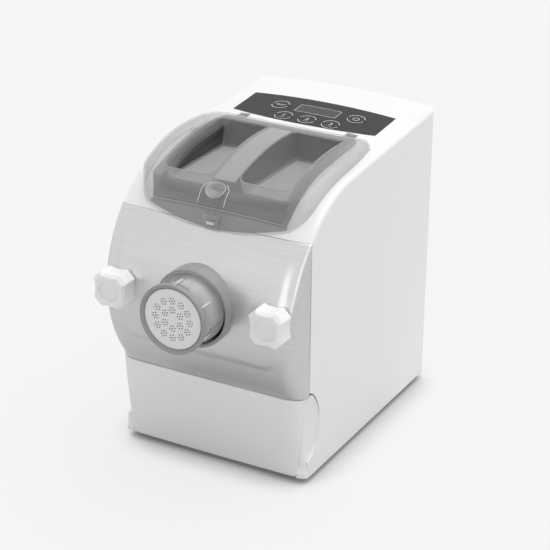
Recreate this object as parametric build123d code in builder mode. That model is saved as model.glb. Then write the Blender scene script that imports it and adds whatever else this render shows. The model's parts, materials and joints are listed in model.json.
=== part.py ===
# Electric pasta maker: a casing with a curved front panel, an extrusion barrel with a bayonet nut,
# a see-through lid over the mixing tub, a storage drawer, and a geared mixing and pressing drive.
# +Z is up, the front faces -Y, and the origin is the middle of the footprint on the table.
import os
from math import asin, atan, cos, degrees, radians, sin, sqrt

from build123d import *

os.makedirs("parts", exist_ok=True)

# Overall size and walls
width = 225.0
depth = 380.0
height = 340.0
half_width = width / 2
back_y = depth / 2
wall = 3.0
foot_height = 8.0
seat_gap = 0.1
part_gap = 0.3
running_gap = 0.4
shaft_gap = 0.05

# Casing outline: a sloping deck, a front arc that reaches its nose above the drawer, and a chin arc
deck_slope = 0.07
deck_crown = 6.0
nose_y = -142.9
nose_z = height - 158.5
chin_y = -118.0
drawer_top_z = height - 236.4
chin_z = drawer_top_z + 0.4
side_front_y = -102.2
deck_edge_round = 4.5
rear_edge_round = 8.0
rear_seam_y = 148.0
rear_seam_bow = 8.0

# Drive line
axis_z = height - 137.0
tub_radius = 72.0
tub_wall = 2.5
tub_front_y = -90.0
tub_rear_y = 60.0
barrel_bore = 22.3
barrel_radius = 30.0
barrel_front_y = -182.5
shaft_radius = 8.0
shaft_end_radius = 6.0

# Front panel and its bulkhead
skin_thickness = 1.0
frame_thickness = 3.0
panel_bottom_z = drawer_top_z + 1.0
panel_top_z = height - 62.5
panel_corner_low = 24.0
panel_corner_high = 2.0
panel_corner_power = 2.3
panel_corner_run = 10.0
least_bow = 0.3
flank_room = 0.6
stud_pad_radius = 9.0
stud_pad_reach = 42.0
bulkhead_y = -96.0
bulkhead_thickness = 4.0
bulkhead_top_z = panel_top_z - 3.5
collar_radius = 45.0
collar_front_y = -145.6
knob_x = half_width - 20.0
knob_radius = 20.0
knob_face_y = -165.0
knob_back_y = -143.3
stud_radius = 4.0

# Die and nut
die_radius = 33.0
die_face_y = -188.0
die_flange_radius = 34.5
die_flange_y = -184.2
nut_front_y = -depth / 2
nut_ring_y = -184.6
nut_back_y = -146.2
nut_radius = 39.0
nut_step_radius = 41.0
nut_step_y = -162.0
nut_bore = 35.0
nut_ring_radius = 40.0
lug_width_angle = 36.0
hole_radius = 0.6

# Drawer
drawer_face_low_y = -109.5
tray_half_width = half_width - 8.5
tray_rear_y = 30.0
tray_floor_z = 12.0
tray_rim_z = drawer_top_z - 5.6
tray_wall = 2.5
shelf_z = drawer_top_z + 1.0
shelf_thickness = 2.5

# Lid
lid_wall = 2.5
lid_crest_y = 10.0
lid_crest_z = height - 2.0
lid_radius = 273.6
lid_rear_y = 66.0
lid_front_y = -112.8
lid_corner_rear_y = 60.0
lid_flank_rear_y = 46.0
lid_flank_middle_y = -20.0
lid_flank_front_y = -72.0
lid_corner_front_y = -91.0
lid_front_end_y = -102.5
lid_brow_y = -108.3
lid_brow_rise = 11.4
lid_front_overlap = 0.6
lid_half_width = half_width - 9.5
lid_lift = 0.4
lid_edge_round = 5.0
lid_front_edge_z = height - 43.0
lid_low_z = height - 66.0
shoulder_y = -99.0
hinge_y = 70.0
hinge_z = height - 14.0
hinge_x = 66.0
hinge_pin_radius = 2.5
hinge_arm_width = 11.0
hinge_lug_reach = 9.7
well_inner_x = 14.0
well_outer_x = half_width - 36.5
well_front_y = -80.0
well_rear_y = 37.0
well_ledge_drop = 7.0
well_floor_drop = 22.0
well_front_round = 15.0
well_rear_round = 4.0
well_wall = 1.8

# Control plate and keys
plate_half_width = half_width - 24.5
plate_rear_y = 138.5
plate_corner_y = 86.0
plate_bow = 14.0
plate_thickness = 1.1
keys_x = 5.0
key_pitch = 29.0
key_row_y = 86.0
upper_row_y = 112.5
upper_key_x = 47.0
key_radius = 10.9
key_hole_gap = 0.3
key_travel = 0.8
display_width = 51.0
display_depth = 19.5
board_z = height - 24.0
board_thickness = 1.6
switch_height = 5.0

# Gear train behind the tub
chassis_y = 74.0
chassis_thickness = 3.0
chassis_width = width - 13.0
chassis_top_z = height - 27.0
chassis_foot = 17.0
gear_plate_y = 104.0
gear_plate_thickness = 3.0
coarse_module = 2.0
fine_module = 1.5
output_teeth = 56
small_teeth = 14
large_teeth = 60
pinion_teeth = 12
step_down_angle = 126.87
motor_radius = 38.0
motor_front_y = 107.0
motor_rear_y = 165.0
motor_shaft_radius = 4.0

base_thickness = 3.0
base_top_z = foot_height + base_thickness
slope_angle = atan(deck_slope)
chin_radius = ((nose_z - chin_z) ** 2 + (chin_y - nose_y) ** 2) / (2 * (chin_y - nose_y))


def deck_z(x, y):
    # height of the deck at a place behind the front arc
    return height - deck_crown * (x / half_width) ** 2 - deck_slope * (back_y - y)


def front_radius(drop):
    # radius of the arc that touches the deck line and the upright at the nose
    rise = height - drop - deck_slope * (back_y - nose_y) - nose_z
    return rise * cos(slope_angle) / (1 - sin(slope_angle))


def face_y(z, inset=0.0, drop=0.0):
    # front surface of the casing at a height, moved inwards by the inset
    radius = front_radius(drop) if z >= nose_z else chin_radius
    return nose_y + radius - sqrt((radius - inset) ** 2 - (z - nose_z) ** 2)


def on_circle(center, radius, angle):
    return (center[0] + radius * cos(radians(angle)), center[1] + radius * sin(radians(angle)))


def casing_block(inset, low_z, overrun=0.0):
    # solid of the whole casing, moved inwards by the inset, cut off flat at low_z and run on at the back
    with BuildPart() as block:
        for share in (-1.0, -0.5, 0.0, 0.5, 1.0):
            with BuildSketch(Plane.YZ.offset(share * (half_width - inset))):
                drop = deck_crown * share ** 2
                radius = front_radius(drop)
                center = (nose_y + radius, nose_z)
                chin_center = (nose_y + chin_radius, nose_z)
                rear = back_y - inset + overrun
                rear_top = height - drop - deck_slope * (back_y - rear) - inset / cos(slope_angle)
                top_angle = 90 + degrees(slope_angle)
                chin_angle = 180 + degrees(asin((nose_z - chin_z) / (chin_radius - inset)))
                nose = (nose_y + inset, nose_z)
                deck_end = on_circle(center, radius - inset, top_angle)
                chin = on_circle(chin_center, chin_radius - inset, chin_angle)
                with BuildLine():
                    Polyline(chin, (chin[0], low_z), (rear, low_z), (rear, rear_top), deck_end)
                    ThreePointArc(deck_end, on_circle(center, radius - inset, (top_angle + 180) / 2), nose)
                    chin_middle = on_circle(chin_center, chin_radius - inset, (chin_angle + 180) / 2)
                    ThreePointArc(nose, chin_middle, chin)
                make_face()
        loft()
    return block.part


def front_section(side_x, rear_line, front_line, corner_x, corner_y, bow):
    # closed plan outline with a gently bowed front and soft corners
    curve = 0.5523
    flank = (side_x, front_line + bow + corner_y)
    corner = (side_x - corner_x, front_line + bow)
    with BuildSketch() as section:
        with BuildLine():
            Polyline((-flank[0], flank[1]), (-side_x, rear_line), (side_x, rear_line), flank)
            Bezier(
                flank,
                (side_x, flank[1] - curve * corner_y),
                (corner[0] + curve * corner_x, corner[1]),
                corner,
            )
            ThreePointArc(corner, (0, front_line), (-corner[0], corner[1]))
            Bezier(
                (-corner[0], corner[1]),
                (-corner[0] - curve * corner_x, corner[1]),
                (-side_x, flank[1] - curve * corner_y),
                (-flank[0], flank[1]),
            )
        make_face()
    return section.sketch


def panel_block(inset, low_z, high_z):
    # solid of the front panel, whose corners grow rounder towards its lower edge
    steps = 9
    with BuildPart() as block:
        for step in range(steps):
            z = low_z + (high_z - low_z) * step / (steps - 1)
            with BuildSketch(Plane.XY.offset(z)):
                drop = deck_crown if z > nose_z else 0.0
                front_line = face_y(z, inset)
                bow = max(face_y(z, inset, drop) - front_line, least_bow)
                corner_top_z = panel_top_z + panel_corner_run
                share = (corner_top_z - z) / (corner_top_z - panel_bottom_z)
                spread = (panel_corner_low - panel_corner_high) * share ** panel_corner_power
                corner = panel_corner_high + spread - inset / 2
                room = side_front_y - front_line - bow - flank_room
                side = half_width - inset
                add(front_section(side, side_front_y, front_line, corner, min(corner, room), bow))
        loft()
    return block.part


def drawer_block(inset, low_z, high_z):
    # solid of the drawer front, which leans forward towards its top
    with BuildPart() as block:
        for z in (low_z, high_z):
            with BuildSketch(Plane.XY.offset(z)):
                lean = (z - foot_height) / (drawer_top_z - foot_height)
                front_line = drawer_face_low_y + (chin_y - drawer_face_low_y) * lean + inset
                room = side_front_y - front_line - flank_room
                corner = panel_corner_low - inset
                side = half_width - inset
                add(front_section(side, side_front_y, front_line, corner, min(corner, room), least_bow))
        loft()
    return block.part


def lid_z(y, drop=0.0):
    # height of the lid's long top curve
    return lid_crest_z - lid_radius + sqrt(lid_radius ** 2 - (y - lid_crest_y) ** 2) - drop


def lid_outline(inset):
    # plan outline of the lid, moved inwards by the inset
    front_x = lid_half_width - 24 - inset
    side_x = lid_half_width - inset
    corner_x = lid_half_width - 9 - inset
    rear_x = lid_half_width - 23
    flank_front = (lid_half_width - 3 - inset, lid_flank_front_y)
    flank_rear = (lid_half_width - 4 - inset, lid_flank_rear_y)
    rear = lid_rear_y - inset
    corner_rear = lid_corner_rear_y - inset
    corner_front = lid_corner_front_y + inset
    front_end = lid_front_end_y + inset
    with BuildSketch() as outline:
        with BuildLine():
            Line((-rear_x, rear), (rear_x, rear))
            ThreePointArc((rear_x, rear), (corner_x, corner_rear), flank_rear)
            ThreePointArc(flank_rear, (side_x, lid_flank_middle_y), flank_front)
            ThreePointArc(flank_front, (corner_x, corner_front), (front_x, front_end))
            ThreePointArc((front_x, front_end), (0, lid_front_y + inset), (-front_x, front_end))
            ThreePointArc((-front_x, front_end), (-corner_x, corner_front), (-flank_front[0], flank_front[1]))
            left_front = (-flank_front[0], flank_front[1])
            left_rear = (-flank_rear[0], flank_rear[1])
            ThreePointArc(left_front, (-side_x, lid_flank_middle_y), left_rear)
            ThreePointArc((-flank_rear[0], flank_rear[1]), (-corner_x, corner_rear), (-rear_x, rear))
        make_face()
    return outline.sketch


def lid_profile(inset, low_z):
    # side view of the lid: the long top curve, the shoulder and the upright front
    front = lid_front_y - lid_front_overlap + inset
    front_top = (front, lid_front_edge_z)
    rear = lid_rear_y + 1
    shoulder = (shoulder_y + inset / 2, lid_z(shoulder_y + inset / 2) - inset)
    with BuildSketch() as outline:
        with BuildLine():
            Polyline(front_top, (front, low_z), (rear, low_z), (rear, lid_z(rear) - inset))
            ThreePointArc((rear, lid_z(rear) - inset), (lid_crest_y, lid_crest_z - inset), shoulder)
            brow = (lid_brow_y + inset, lid_front_edge_z + lid_brow_rise - inset / 2)
            ThreePointArc(shoulder, brow, front_top)
        make_face()
    return outline.sketch


def under_lid(drop):
    # everything below the lid's long curve lowered by the drop
    front = shoulder_y + 1
    rear = lid_rear_y - 6
    with BuildPart() as block:
        with BuildSketch(Plane.YZ):
            with BuildLine():
                front_top = (front, lid_z(front, drop))
                rear_top = (rear, lid_z(rear, drop))
                Polyline(front_top, (front, axis_z), (rear, axis_z), rear_top)
                ThreePointArc(rear_top, (lid_crest_y, lid_crest_z - drop), front_top)
            make_face()
        extrude(amount=half_width, both=True)
    return block.part


def well_outline(inset, side):
    # plan outline of one pouring well, rounder at its front
    middle_x = side * (well_inner_x + well_outer_x) / 2
    middle_y = (well_front_y + well_rear_y) / 2
    with BuildSketch() as outline:
        with Locations((middle_x, middle_y)):
            Rectangle(well_outer_x - well_inner_x - 2 * inset, well_rear_y - well_front_y - 2 * inset)
        fillet(outline.vertices().group_by(Axis.Y)[0], well_front_round)
        fillet(outline.vertices().group_by(Axis.Y)[-1], well_rear_round)
    return outline.sketch


def prism(outline):
    # tall upright solid over a plan outline
    with BuildPart() as block:
        extrude(outline, amount=height + 20)
    return block.part


def plate_outline(inset):
    # plan outline of the control plate, whose front edge bows towards the lid
    side = plate_half_width - inset
    front = plate_corner_y + inset
    with BuildSketch() as outline:
        with BuildLine():
            rear = plate_rear_y - inset
            Polyline((-side, front), (-side, rear), (side, rear), (side, front))
            ThreePointArc((side, front), (0, front - plate_bow), (-side, front))
        make_face()
    return outline.sketch


def rear_zone_outline(inset):
    # plan outline of the part of the casing that the rear cover fills
    side = half_width - wall - inset
    seam = rear_seam_y + inset
    with BuildSketch() as outline:
        with BuildLine():
            Polyline((-side, seam), (-side, back_y + 5), (side, back_y + 5), (side, seam))
            ThreePointArc((side, seam), (0, seam + rear_seam_bow), (-side, seam))
        make_face()
    return outline.sketch


def tub_outline(radius):
    # upright section of the tub: a half round with straight sides that run up past the deck
    Circle(radius)
    with Locations((0, (height - axis_z) / 2)):
        Rectangle(2 * radius, height - axis_z)


def across(y):
    # upright plane at a depth, whose sketches are extruded towards the front
    return Plane.XZ.offset(-y)


def drive_plane(y):
    return Plane(origin=(0, y, axis_z), x_dir=(1, 0, 0), z_dir=(0, -1, 0))


inner_block = casing_block(wall, foot_height - 5)

with BuildPart() as rounded_casing:
    add(casing_block(0.0, foot_height, 10.0))
    long_edges = [edge for edge in rounded_casing.edges() if abs(edge.center().X) > half_width - 1]
    high_edges = [edge for edge in long_edges if edge.center().Z > nose_z + 20]
    deck_edges = [edge for edge in high_edges if edge.center().Y < back_y - 5]
    fillet(deck_edges, deck_edge_round)
    with BuildSketch():
        Rectangle(width, depth)
        fillet(vertices().group_by(Axis.Y)[-1], rear_edge_round)
    extrude(amount=height + 20, mode=Mode.INTERSECT)

key_places = {
    "program_key_1": (keys_x - key_pitch, key_row_y),
    "program_key_2": (keys_x, key_row_y),
    "program_key_3": (keys_x + key_pitch, key_row_y),
    "manual_key": (keys_x - upper_key_x, upper_row_y),
    "power_key": (keys_x + upper_key_x, upper_row_y),
}

scoop_z = drawer_top_z * 0.656

# Housing shell: side walls, deck with its tub opening, and the bridge over the front panel
screw_boss = 12.0
screw_hole_radius = 1.65
lug_size = 9.0
lug_drop = 1.5
lug_slot_depth = 15.0
display_ledge = 2.0
tub_corner = 10.0
scoop_half_depth = 30.0
scoop_floor_z = 26.0
screw_levels = (26.0, height / 2 - 10, height - 44)
screw_places = [(side * (half_width - 9), z) for side in (-1, 1) for z in screw_levels]
with BuildPart() as housing_shell:
    add(rounded_casing.part)
    add(inner_block, mode=Mode.SUBTRACT)
    add(prism(rear_zone_outline(0.0)), mode=Mode.SUBTRACT)
    with BuildSketch(Plane.XY):
        with Locations((0, side_front_y - 40)):
            Rectangle(width + 20, 80)
    extrude(amount=panel_top_z + part_gap, mode=Mode.SUBTRACT)
    with BuildSketch(Plane.XY.offset(axis_z)):
        with Locations((0, (tub_front_y + tub_rear_y) / 2)):
            RectangleRounded(2 * tub_radius, tub_rear_y - tub_front_y - 2 * tub_wall, tub_corner)
    extrude(amount=height, mode=Mode.SUBTRACT)
    with BuildSketch(Plane.YZ.offset(-half_width - 1)):
        with Locations((side_front_y - 5.8, scoop_z)):
            Ellipse(scoop_half_depth, scoop_z - scoop_floor_z)
    extrude(amount=width + 2, mode=Mode.SUBTRACT)
    add(prism(plate_outline(0.0)) - casing_block(plate_thickness + seat_gap, 0), mode=Mode.SUBTRACT)
    with BuildSketch(Plane.XY.offset(axis_z)):
        with Locations(*key_places.values()):
            Circle(key_radius + key_hole_gap)
        with Locations((keys_x, upper_row_y)):
            Rectangle(display_width - 2 * display_ledge, display_depth - 2 * display_ledge)
    extrude(amount=height, mode=Mode.SUBTRACT)
    for side in (-1, 1):
        with BuildSketch(Plane.YZ.offset(side * hinge_x - hinge_lug_reach)):
            with Locations((hinge_y + 1, hinge_z - lug_drop)):
                Rectangle(lug_size, lug_size)
        extrude(amount=2 * hinge_lug_reach)
        with BuildSketch(Plane.XY.offset(hinge_z - 10)):
            with Locations((side * hinge_x, hinge_y)):
                Rectangle(hinge_arm_width + 2, lug_slot_depth)
        extrude(amount=20, mode=Mode.SUBTRACT)
        with BuildSketch(Plane.YZ.offset(side * hinge_x - hinge_lug_reach - 1)):
            with Locations((hinge_y, hinge_z)):
                Circle(hinge_pin_radius)
        extrude(amount=2 * hinge_lug_reach + 2, mode=Mode.SUBTRACT)
    for side in (-1, 1):
        with BuildSketch(across(back_y - wall - seat_gap)):
            with Locations(*[place for place in screw_places if place[0] * side > 0]):
                Rectangle(screw_boss, screw_boss)
                Circle(screw_hole_radius, mode=Mode.SUBTRACT)
        extrude(amount=screw_boss)
housing_shell.part.label = "housing_shell"
export_step(housing_shell.part, "parts/housing_shell.step")

# Rear cover: top strip and back, with vents and the mains opening
inlet_x = 58.0
inlet_z = 40.0
inlet_width = 28.0
inlet_height = 20.0
vent_x = -10.0
vent_pitch = 11.0
vent_count = 9
vent_length = 44.0
vent_width = 5.0
cover_screw_radius = 1.6
screw_head_radius = 3.3
head_sink = 2.6
with BuildPart() as rear_cover:
    add(rounded_casing.part)
    add(prism(rear_zone_outline(seat_gap)), mode=Mode.INTERSECT)
    add(inner_block, mode=Mode.SUBTRACT)
    with BuildSketch(across(back_y + 1)):
        with Locations((inlet_x, inlet_z)):
            Rectangle(inlet_width, inlet_height)
        with Locations((vent_x, axis_z - 99), (vent_x, axis_z + 17)):
            with GridLocations(vent_pitch, 0, vent_count, 1):
                SlotOverall(vent_length, vent_width, rotation=90)
        with Locations(*screw_places):
            Circle(cover_screw_radius + 0.2)
    extrude(amount=wall + 2, mode=Mode.SUBTRACT)
    with BuildSketch(across(back_y + 1)):
        with Locations(*screw_places):
            Circle(screw_head_radius + part_gap)
    extrude(amount=head_sink, mode=Mode.SUBTRACT)
rear_cover.part.label = "rear_cover"
export_step(rear_cover.part, "parts/rear_cover.step")

with BuildPart() as cover_screws:
    with BuildSketch(across(back_y - 0.2)):
        with Locations(*screw_places):
            Circle(screw_head_radius)
    extrude(amount=1.3)
    with BuildSketch(across(back_y - 1.5)):
        with Locations(*screw_places):
            Circle(cover_screw_radius)
    extrude(amount=11)
    with BuildSketch(across(back_y - 0.2)):
        with Locations(*screw_places):
            Rectangle(3.6, 0.8)
            Rectangle(0.8, 3.6)
    extrude(amount=0.7, mode=Mode.SUBTRACT)
cover_screws.part.label = "cover_screws"
export_step(cover_screws.part, "parts/cover_screws.step")

# Base plate with drawer rails, and the four feet
rail_height = 12.0
rail_width = 3.0
rail_length = 150.0
rail_gap = 0.4
foot_radius = 8.5
foot_top_radius = 10.5
foot_x = half_width - 14.5
foot_front_y = side_front_y + 30.2
foot_rear_y = back_y - 42
foot_places = [(side * foot_x, y) for y in (foot_front_y, foot_rear_y) for side in (-1, 1)]
with BuildPart() as base_plate:
    with BuildSketch(Plane.XY.offset(foot_height)):
        with Locations((0, (back_y - wall + side_front_y) / 2 + 1)):
            Rectangle(width - 2 * wall - 0.2, back_y - wall - side_front_y - 2.4)
    extrude(amount=base_thickness)
    with BuildSketch(Plane.XY.offset(base_top_z)):
        for side in (-1, 1):
            with Locations((side * (tray_half_width + rail_gap + rail_width / 2), -22)):
                Rectangle(rail_width, rail_length)
    extrude(amount=rail_height)
base_plate.part.label = "base_plate"
export_step(base_plate.part, "parts/base_plate.step")

foot_names = ("front_left_foot", "front_right_foot", "rear_left_foot", "rear_right_foot")
for foot_name, place in zip(foot_names, foot_places):
    with BuildPart() as foot:
        with BuildSketch(Plane.XY):
            with Locations(place):
                Circle(foot_radius)
        with BuildSketch(Plane.XY.offset(foot_height)):
            with Locations(place):
                Circle(foot_top_radius)
        loft()
        fillet(foot.faces().sort_by(Axis.Z)[0].edges(), 1.2)
    foot.part.label = foot_name
    export_step(foot.part, f"parts/{foot_name}.step")

# Drawer: a leaning front and a tray behind it
boss_places = [(-60, 55), (60, 55)]
boss_width = 30.0
boss_height = 40.0
boss_reach = 9.0
tray_front_y = side_front_y - 1.0
with BuildPart() as drawer_front:
    add(drawer_block(0.0, foot_height, drawer_top_z))
    add(drawer_block(wall, foot_height + wall, drawer_top_z - wall), mode=Mode.SUBTRACT)
    with BuildSketch(across(tray_front_y)):
        with Locations(*boss_places):
            Rectangle(boss_width, boss_height)
    extrude(amount=boss_reach)
    add(drawer_block(0.0, foot_height, drawer_top_z), mode=Mode.INTERSECT)
drawer_front.part.label = "drawer_front"
export_step(drawer_front.part, "parts/drawer_front.step")

with BuildPart() as drawer_tray:
    with BuildSketch(Plane.XY.offset(tray_floor_z)):
        with Locations((0, (tray_front_y + tray_rear_y) / 2)):
            RectangleRounded(2 * tray_half_width, tray_rear_y - tray_front_y, 4)
    extrude(amount=tray_rim_z - tray_floor_z)
    with BuildSketch(Plane.XY.offset(tray_floor_z + tray_wall)):
        with Locations((0, (tray_front_y + tray_rear_y) / 2)):
            RectangleRounded(2 * (tray_half_width - tray_wall), tray_rear_y - tray_front_y - 2 * tray_wall, 2)
    extrude(amount=tray_rim_z, mode=Mode.SUBTRACT)
drawer_tray.part.label = "drawer_tray"
export_step(drawer_tray.part, "parts/drawer_tray.step")

# Shelf over the drawer with two saddles that carry the tub
shelf_front_y = side_front_y + 0.5
shelf_top_z = shelf_z + shelf_thickness
saddle_places = (-58.0, 38.0)
saddle_width = 132.0
saddle_height = 44.0
saddle_thickness = 4.0
with BuildPart() as drawer_shelf:
    with BuildSketch(Plane.XY.offset(shelf_z)):
        with Locations((0, (shelf_front_y + chassis_y) / 2)):
            Rectangle(width - 2 * wall - 0.2, chassis_y - shelf_front_y - seat_gap)
    extrude(amount=shelf_thickness)
    for saddle_y in saddle_places:
        with BuildSketch(across(saddle_y + saddle_thickness)):
            with Locations((0, shelf_top_z + saddle_height / 2)):
                Rectangle(saddle_width, saddle_height)
            with Locations((0, axis_z)):
                Circle(tub_radius + tub_wall + seat_gap, mode=Mode.SUBTRACT)
        extrude(amount=saddle_thickness)
drawer_shelf.part.label = "drawer_shelf"
export_step(drawer_shelf.part, "parts/drawer_shelf.step")

# Mixing tub under the lid
seal_radius = 14.0
seal_lip = 4.0
with BuildPart() as mixing_tub:
    with BuildSketch(drive_plane(tub_rear_y)):
        tub_outline(tub_radius + tub_wall)
    extrude(amount=tub_rear_y - tub_front_y)
    with BuildSketch(drive_plane(tub_rear_y - tub_wall)):
        tub_outline(tub_radius)
    extrude(amount=tub_rear_y - tub_front_y - 2 * tub_wall, mode=Mode.SUBTRACT)
    add(casing_block(wall + seat_gap, 0), mode=Mode.INTERSECT)
    with BuildSketch(drive_plane(tub_rear_y + 1)):
        Circle(seal_radius + seat_gap)
    extrude(amount=tub_wall + 2, mode=Mode.SUBTRACT)
    with BuildSketch(drive_plane(tub_front_y + tub_wall + 1)):
        Circle(barrel_bore)
    extrude(amount=tub_wall + 2, mode=Mode.SUBTRACT)
mixing_tub.part.label = "mixing_tub"
export_step(mixing_tub.part, "parts/mixing_tub.step")

with BuildPart() as shaft_seal:
    with BuildSketch(drive_plane(chassis_y)):
        Circle(seal_radius)
        Circle(shaft_radius + shaft_gap, mode=Mode.SUBTRACT)
    extrude(amount=chassis_y - tub_rear_y + tub_wall)
    with BuildSketch(drive_plane(chassis_y)):
        Circle(seal_radius + seal_lip)
        Circle(seal_radius - 1, mode=Mode.SUBTRACT)
    extrude(amount=chassis_y - tub_rear_y - seat_gap)
shaft_seal.part.label = "shaft_seal"
export_step(shaft_seal.part, "parts/shaft_seal.step")

# Front bulkhead, studs and the barrel with its bayonet lugs
flange_radius = 38.6
hex_head_radius = 7.5
hex_head_height = 4.0
stud_sink = 6.0
with BuildPart() as front_bulkhead:
    with BuildSketch(across(bulkhead_y + bulkhead_thickness)):
        with Locations((0, (shelf_top_z + bulkhead_top_z) / 2)):
            RectangleRounded(width - 9, bulkhead_top_z - shelf_top_z, 6)
        with Locations((0, axis_z)):
            Circle(flange_radius + seat_gap, mode=Mode.SUBTRACT)
        with Locations((-knob_x, axis_z), (knob_x, axis_z)):
            Circle(stud_radius + shaft_gap, mode=Mode.SUBTRACT)
    extrude(amount=bulkhead_thickness)
front_bulkhead.part.label = "front_bulkhead"
export_step(front_bulkhead.part, "parts/front_bulkhead.step")

for side_name, side in (("left", -1), ("right", 1)):
    with BuildPart() as stud:
        with BuildSketch(across(bulkhead_y + bulkhead_thickness + hex_head_height)):
            with Locations((side * knob_x, axis_z)):
                RegularPolygon(hex_head_radius, 6)
        extrude(amount=hex_head_height)
        with BuildSketch(across(bulkhead_y + bulkhead_thickness)):
            with Locations((side * knob_x, axis_z)):
                Circle(stud_radius)
        extrude(amount=bulkhead_y + bulkhead_thickness - knob_face_y - stud_sink)
    stud.part.label = f"{side_name}_knob_stud"
    export_step(stud.part, f"parts/{side_name}_knob_stud.step")

lug_places = (90, 210, 330)
barrel_lug_y = -170.0
lug_depth = 6.0
nut_lug_y = -164.0


def lug_ring(inner, outer, start):
    # three equal sectors of a ring
    Circle(outer)
    Circle(inner, mode=Mode.SUBTRACT)
    with Locations((0, 0)):
        for place in lug_places:
            gap_middle = radians(start + place + 60)
            reach = outer * 3
            half_gap = radians((120 - lug_width_angle) / 2)
            Polygon(
                (0, 0),
                (reach * cos(gap_middle - half_gap), reach * sin(gap_middle - half_gap)),
                (reach * cos(gap_middle), reach * sin(gap_middle)),
                (reach * cos(gap_middle + half_gap), reach * sin(gap_middle + half_gap)),
                align=None,
                mode=Mode.SUBTRACT,
            )


with BuildPart() as extrusion_barrel:
    with BuildSketch(drive_plane(tub_front_y - seat_gap)):
        Circle(flange_radius)
    extrude(amount=tub_front_y - bulkhead_y - seat_gap)
    with BuildSketch(drive_plane(bulkhead_y)):
        Circle(barrel_radius)
    extrude(amount=bulkhead_y - barrel_front_y)
    with BuildSketch(drive_plane(barrel_lug_y)):
        lug_ring(barrel_radius - 1, nut_bore - 2 * part_gap, 0)
    extrude(amount=lug_depth)
    with BuildSketch(drive_plane(tub_front_y + 1)):
        Circle(barrel_bore)
    extrude(amount=tub_front_y - barrel_front_y + 2, mode=Mode.SUBTRACT)
extrusion_barrel.part.label = "extrusion_barrel"
export_step(extrusion_barrel.part, "parts/extrusion_barrel.step")

# Collar round the barrel, the panel frame behind the steel, and the steel skin
with BuildPart() as barrel_collar:
    with BuildSketch(drive_plane(bulkhead_y - seat_gap)):
        Circle(collar_radius)
        Circle(barrel_radius + seat_gap, mode=Mode.SUBTRACT)
    extrude(amount=bulkhead_y - collar_front_y - seat_gap)
    with BuildSketch(drive_plane(bulkhead_y - 4)):
        Circle(collar_radius - 3)
        Circle(barrel_radius + 0.05, mode=Mode.SUBTRACT)
    extrude(amount=depth, mode=Mode.SUBTRACT)
barrel_collar.part.label = "barrel_collar"
export_step(barrel_collar.part, "parts/barrel_collar.step")

frame_inset = skin_thickness + seat_gap
with BuildPart() as panel_frame:
    add(panel_block(frame_inset, panel_bottom_z + frame_inset, panel_top_z - frame_inset - 1))
    add(
        panel_block(
            frame_inset + frame_thickness,
            panel_bottom_z + frame_inset + frame_thickness,
            panel_top_z - frame_inset - frame_thickness - 5,
        ),
        mode=Mode.SUBTRACT,
    )
    with BuildSketch(across(bulkhead_y - seat_gap)):
        with Locations((-knob_x, axis_z), (knob_x, axis_z)):
            Circle(stud_pad_radius)
    extrude(amount=stud_pad_reach)
    with BuildSketch(across(bulkhead_y + 5)):
        with Locations((-knob_x, axis_z), (knob_x, axis_z)):
            Circle(stud_radius + part_gap)
        with Locations((0, axis_z)):
            Circle(collar_radius + seat_gap)
    extrude(amount=80, mode=Mode.SUBTRACT)
panel_frame.part.label = "panel_frame"
export_step(panel_frame.part, "parts/panel_frame.step")

with BuildPart() as front_panel:
    add(panel_block(0.0, panel_bottom_z, panel_top_z))
    add(
        panel_block(skin_thickness, panel_bottom_z + skin_thickness, panel_top_z - skin_thickness - 1),
        mode=Mode.SUBTRACT,
    )
    with BuildSketch(across(bulkhead_y)):
        with Locations((-knob_x, axis_z), (knob_x, axis_z)):
            Circle(stud_radius + part_gap)
        with Locations((0, axis_z)):
            Circle(collar_radius + seat_gap)
    extrude(amount=80, mode=Mode.SUBTRACT)
front_panel.part.label = "front_panel"
export_step(front_panel.part, "parts/front_panel.step")

# Lock knobs: eight-sided with hollowed sides and a dished face
hollow_radius = 30.6
hollow_distance = knob_radius + 28
knob_corner_round = 3.0
knob_edge_chamfer = 1.8
knob_dish_radius = 12.5
knob_dish_depth = 1.2
knob_cap = 4.0
for side_name, side in (("left", -1), ("right", 1)):
    with BuildPart() as knob:
        center = (side * knob_x, axis_z)
        with BuildSketch(across(knob_back_y)):
            with Locations(center):
                RegularPolygon(knob_radius, 8, rotation=22.5)
                with PolarLocations(hollow_distance, 8):
                    Circle(hollow_radius, mode=Mode.SUBTRACT)
            fillet(vertices(), knob_corner_round)
        extrude(amount=knob_back_y - knob_face_y)
        chamfer(knob.faces().sort_by(Axis.Y)[0].edges(), knob_edge_chamfer)
        with BuildSketch(across(knob_face_y)):
            with Locations(center):
                Circle(knob_dish_radius)
        extrude(amount=-knob_dish_depth, mode=Mode.SUBTRACT)
        with BuildSketch(across(knob_back_y)):
            with Locations(center):
                Circle(stud_radius + shaft_gap)
        extrude(amount=knob_back_y - knob_face_y - knob_cap, mode=Mode.SUBTRACT)
    knob.part.label = f"{side_name}_lock_knob"
    export_step(knob.part, f"parts/{side_name}_lock_knob.step")

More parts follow.
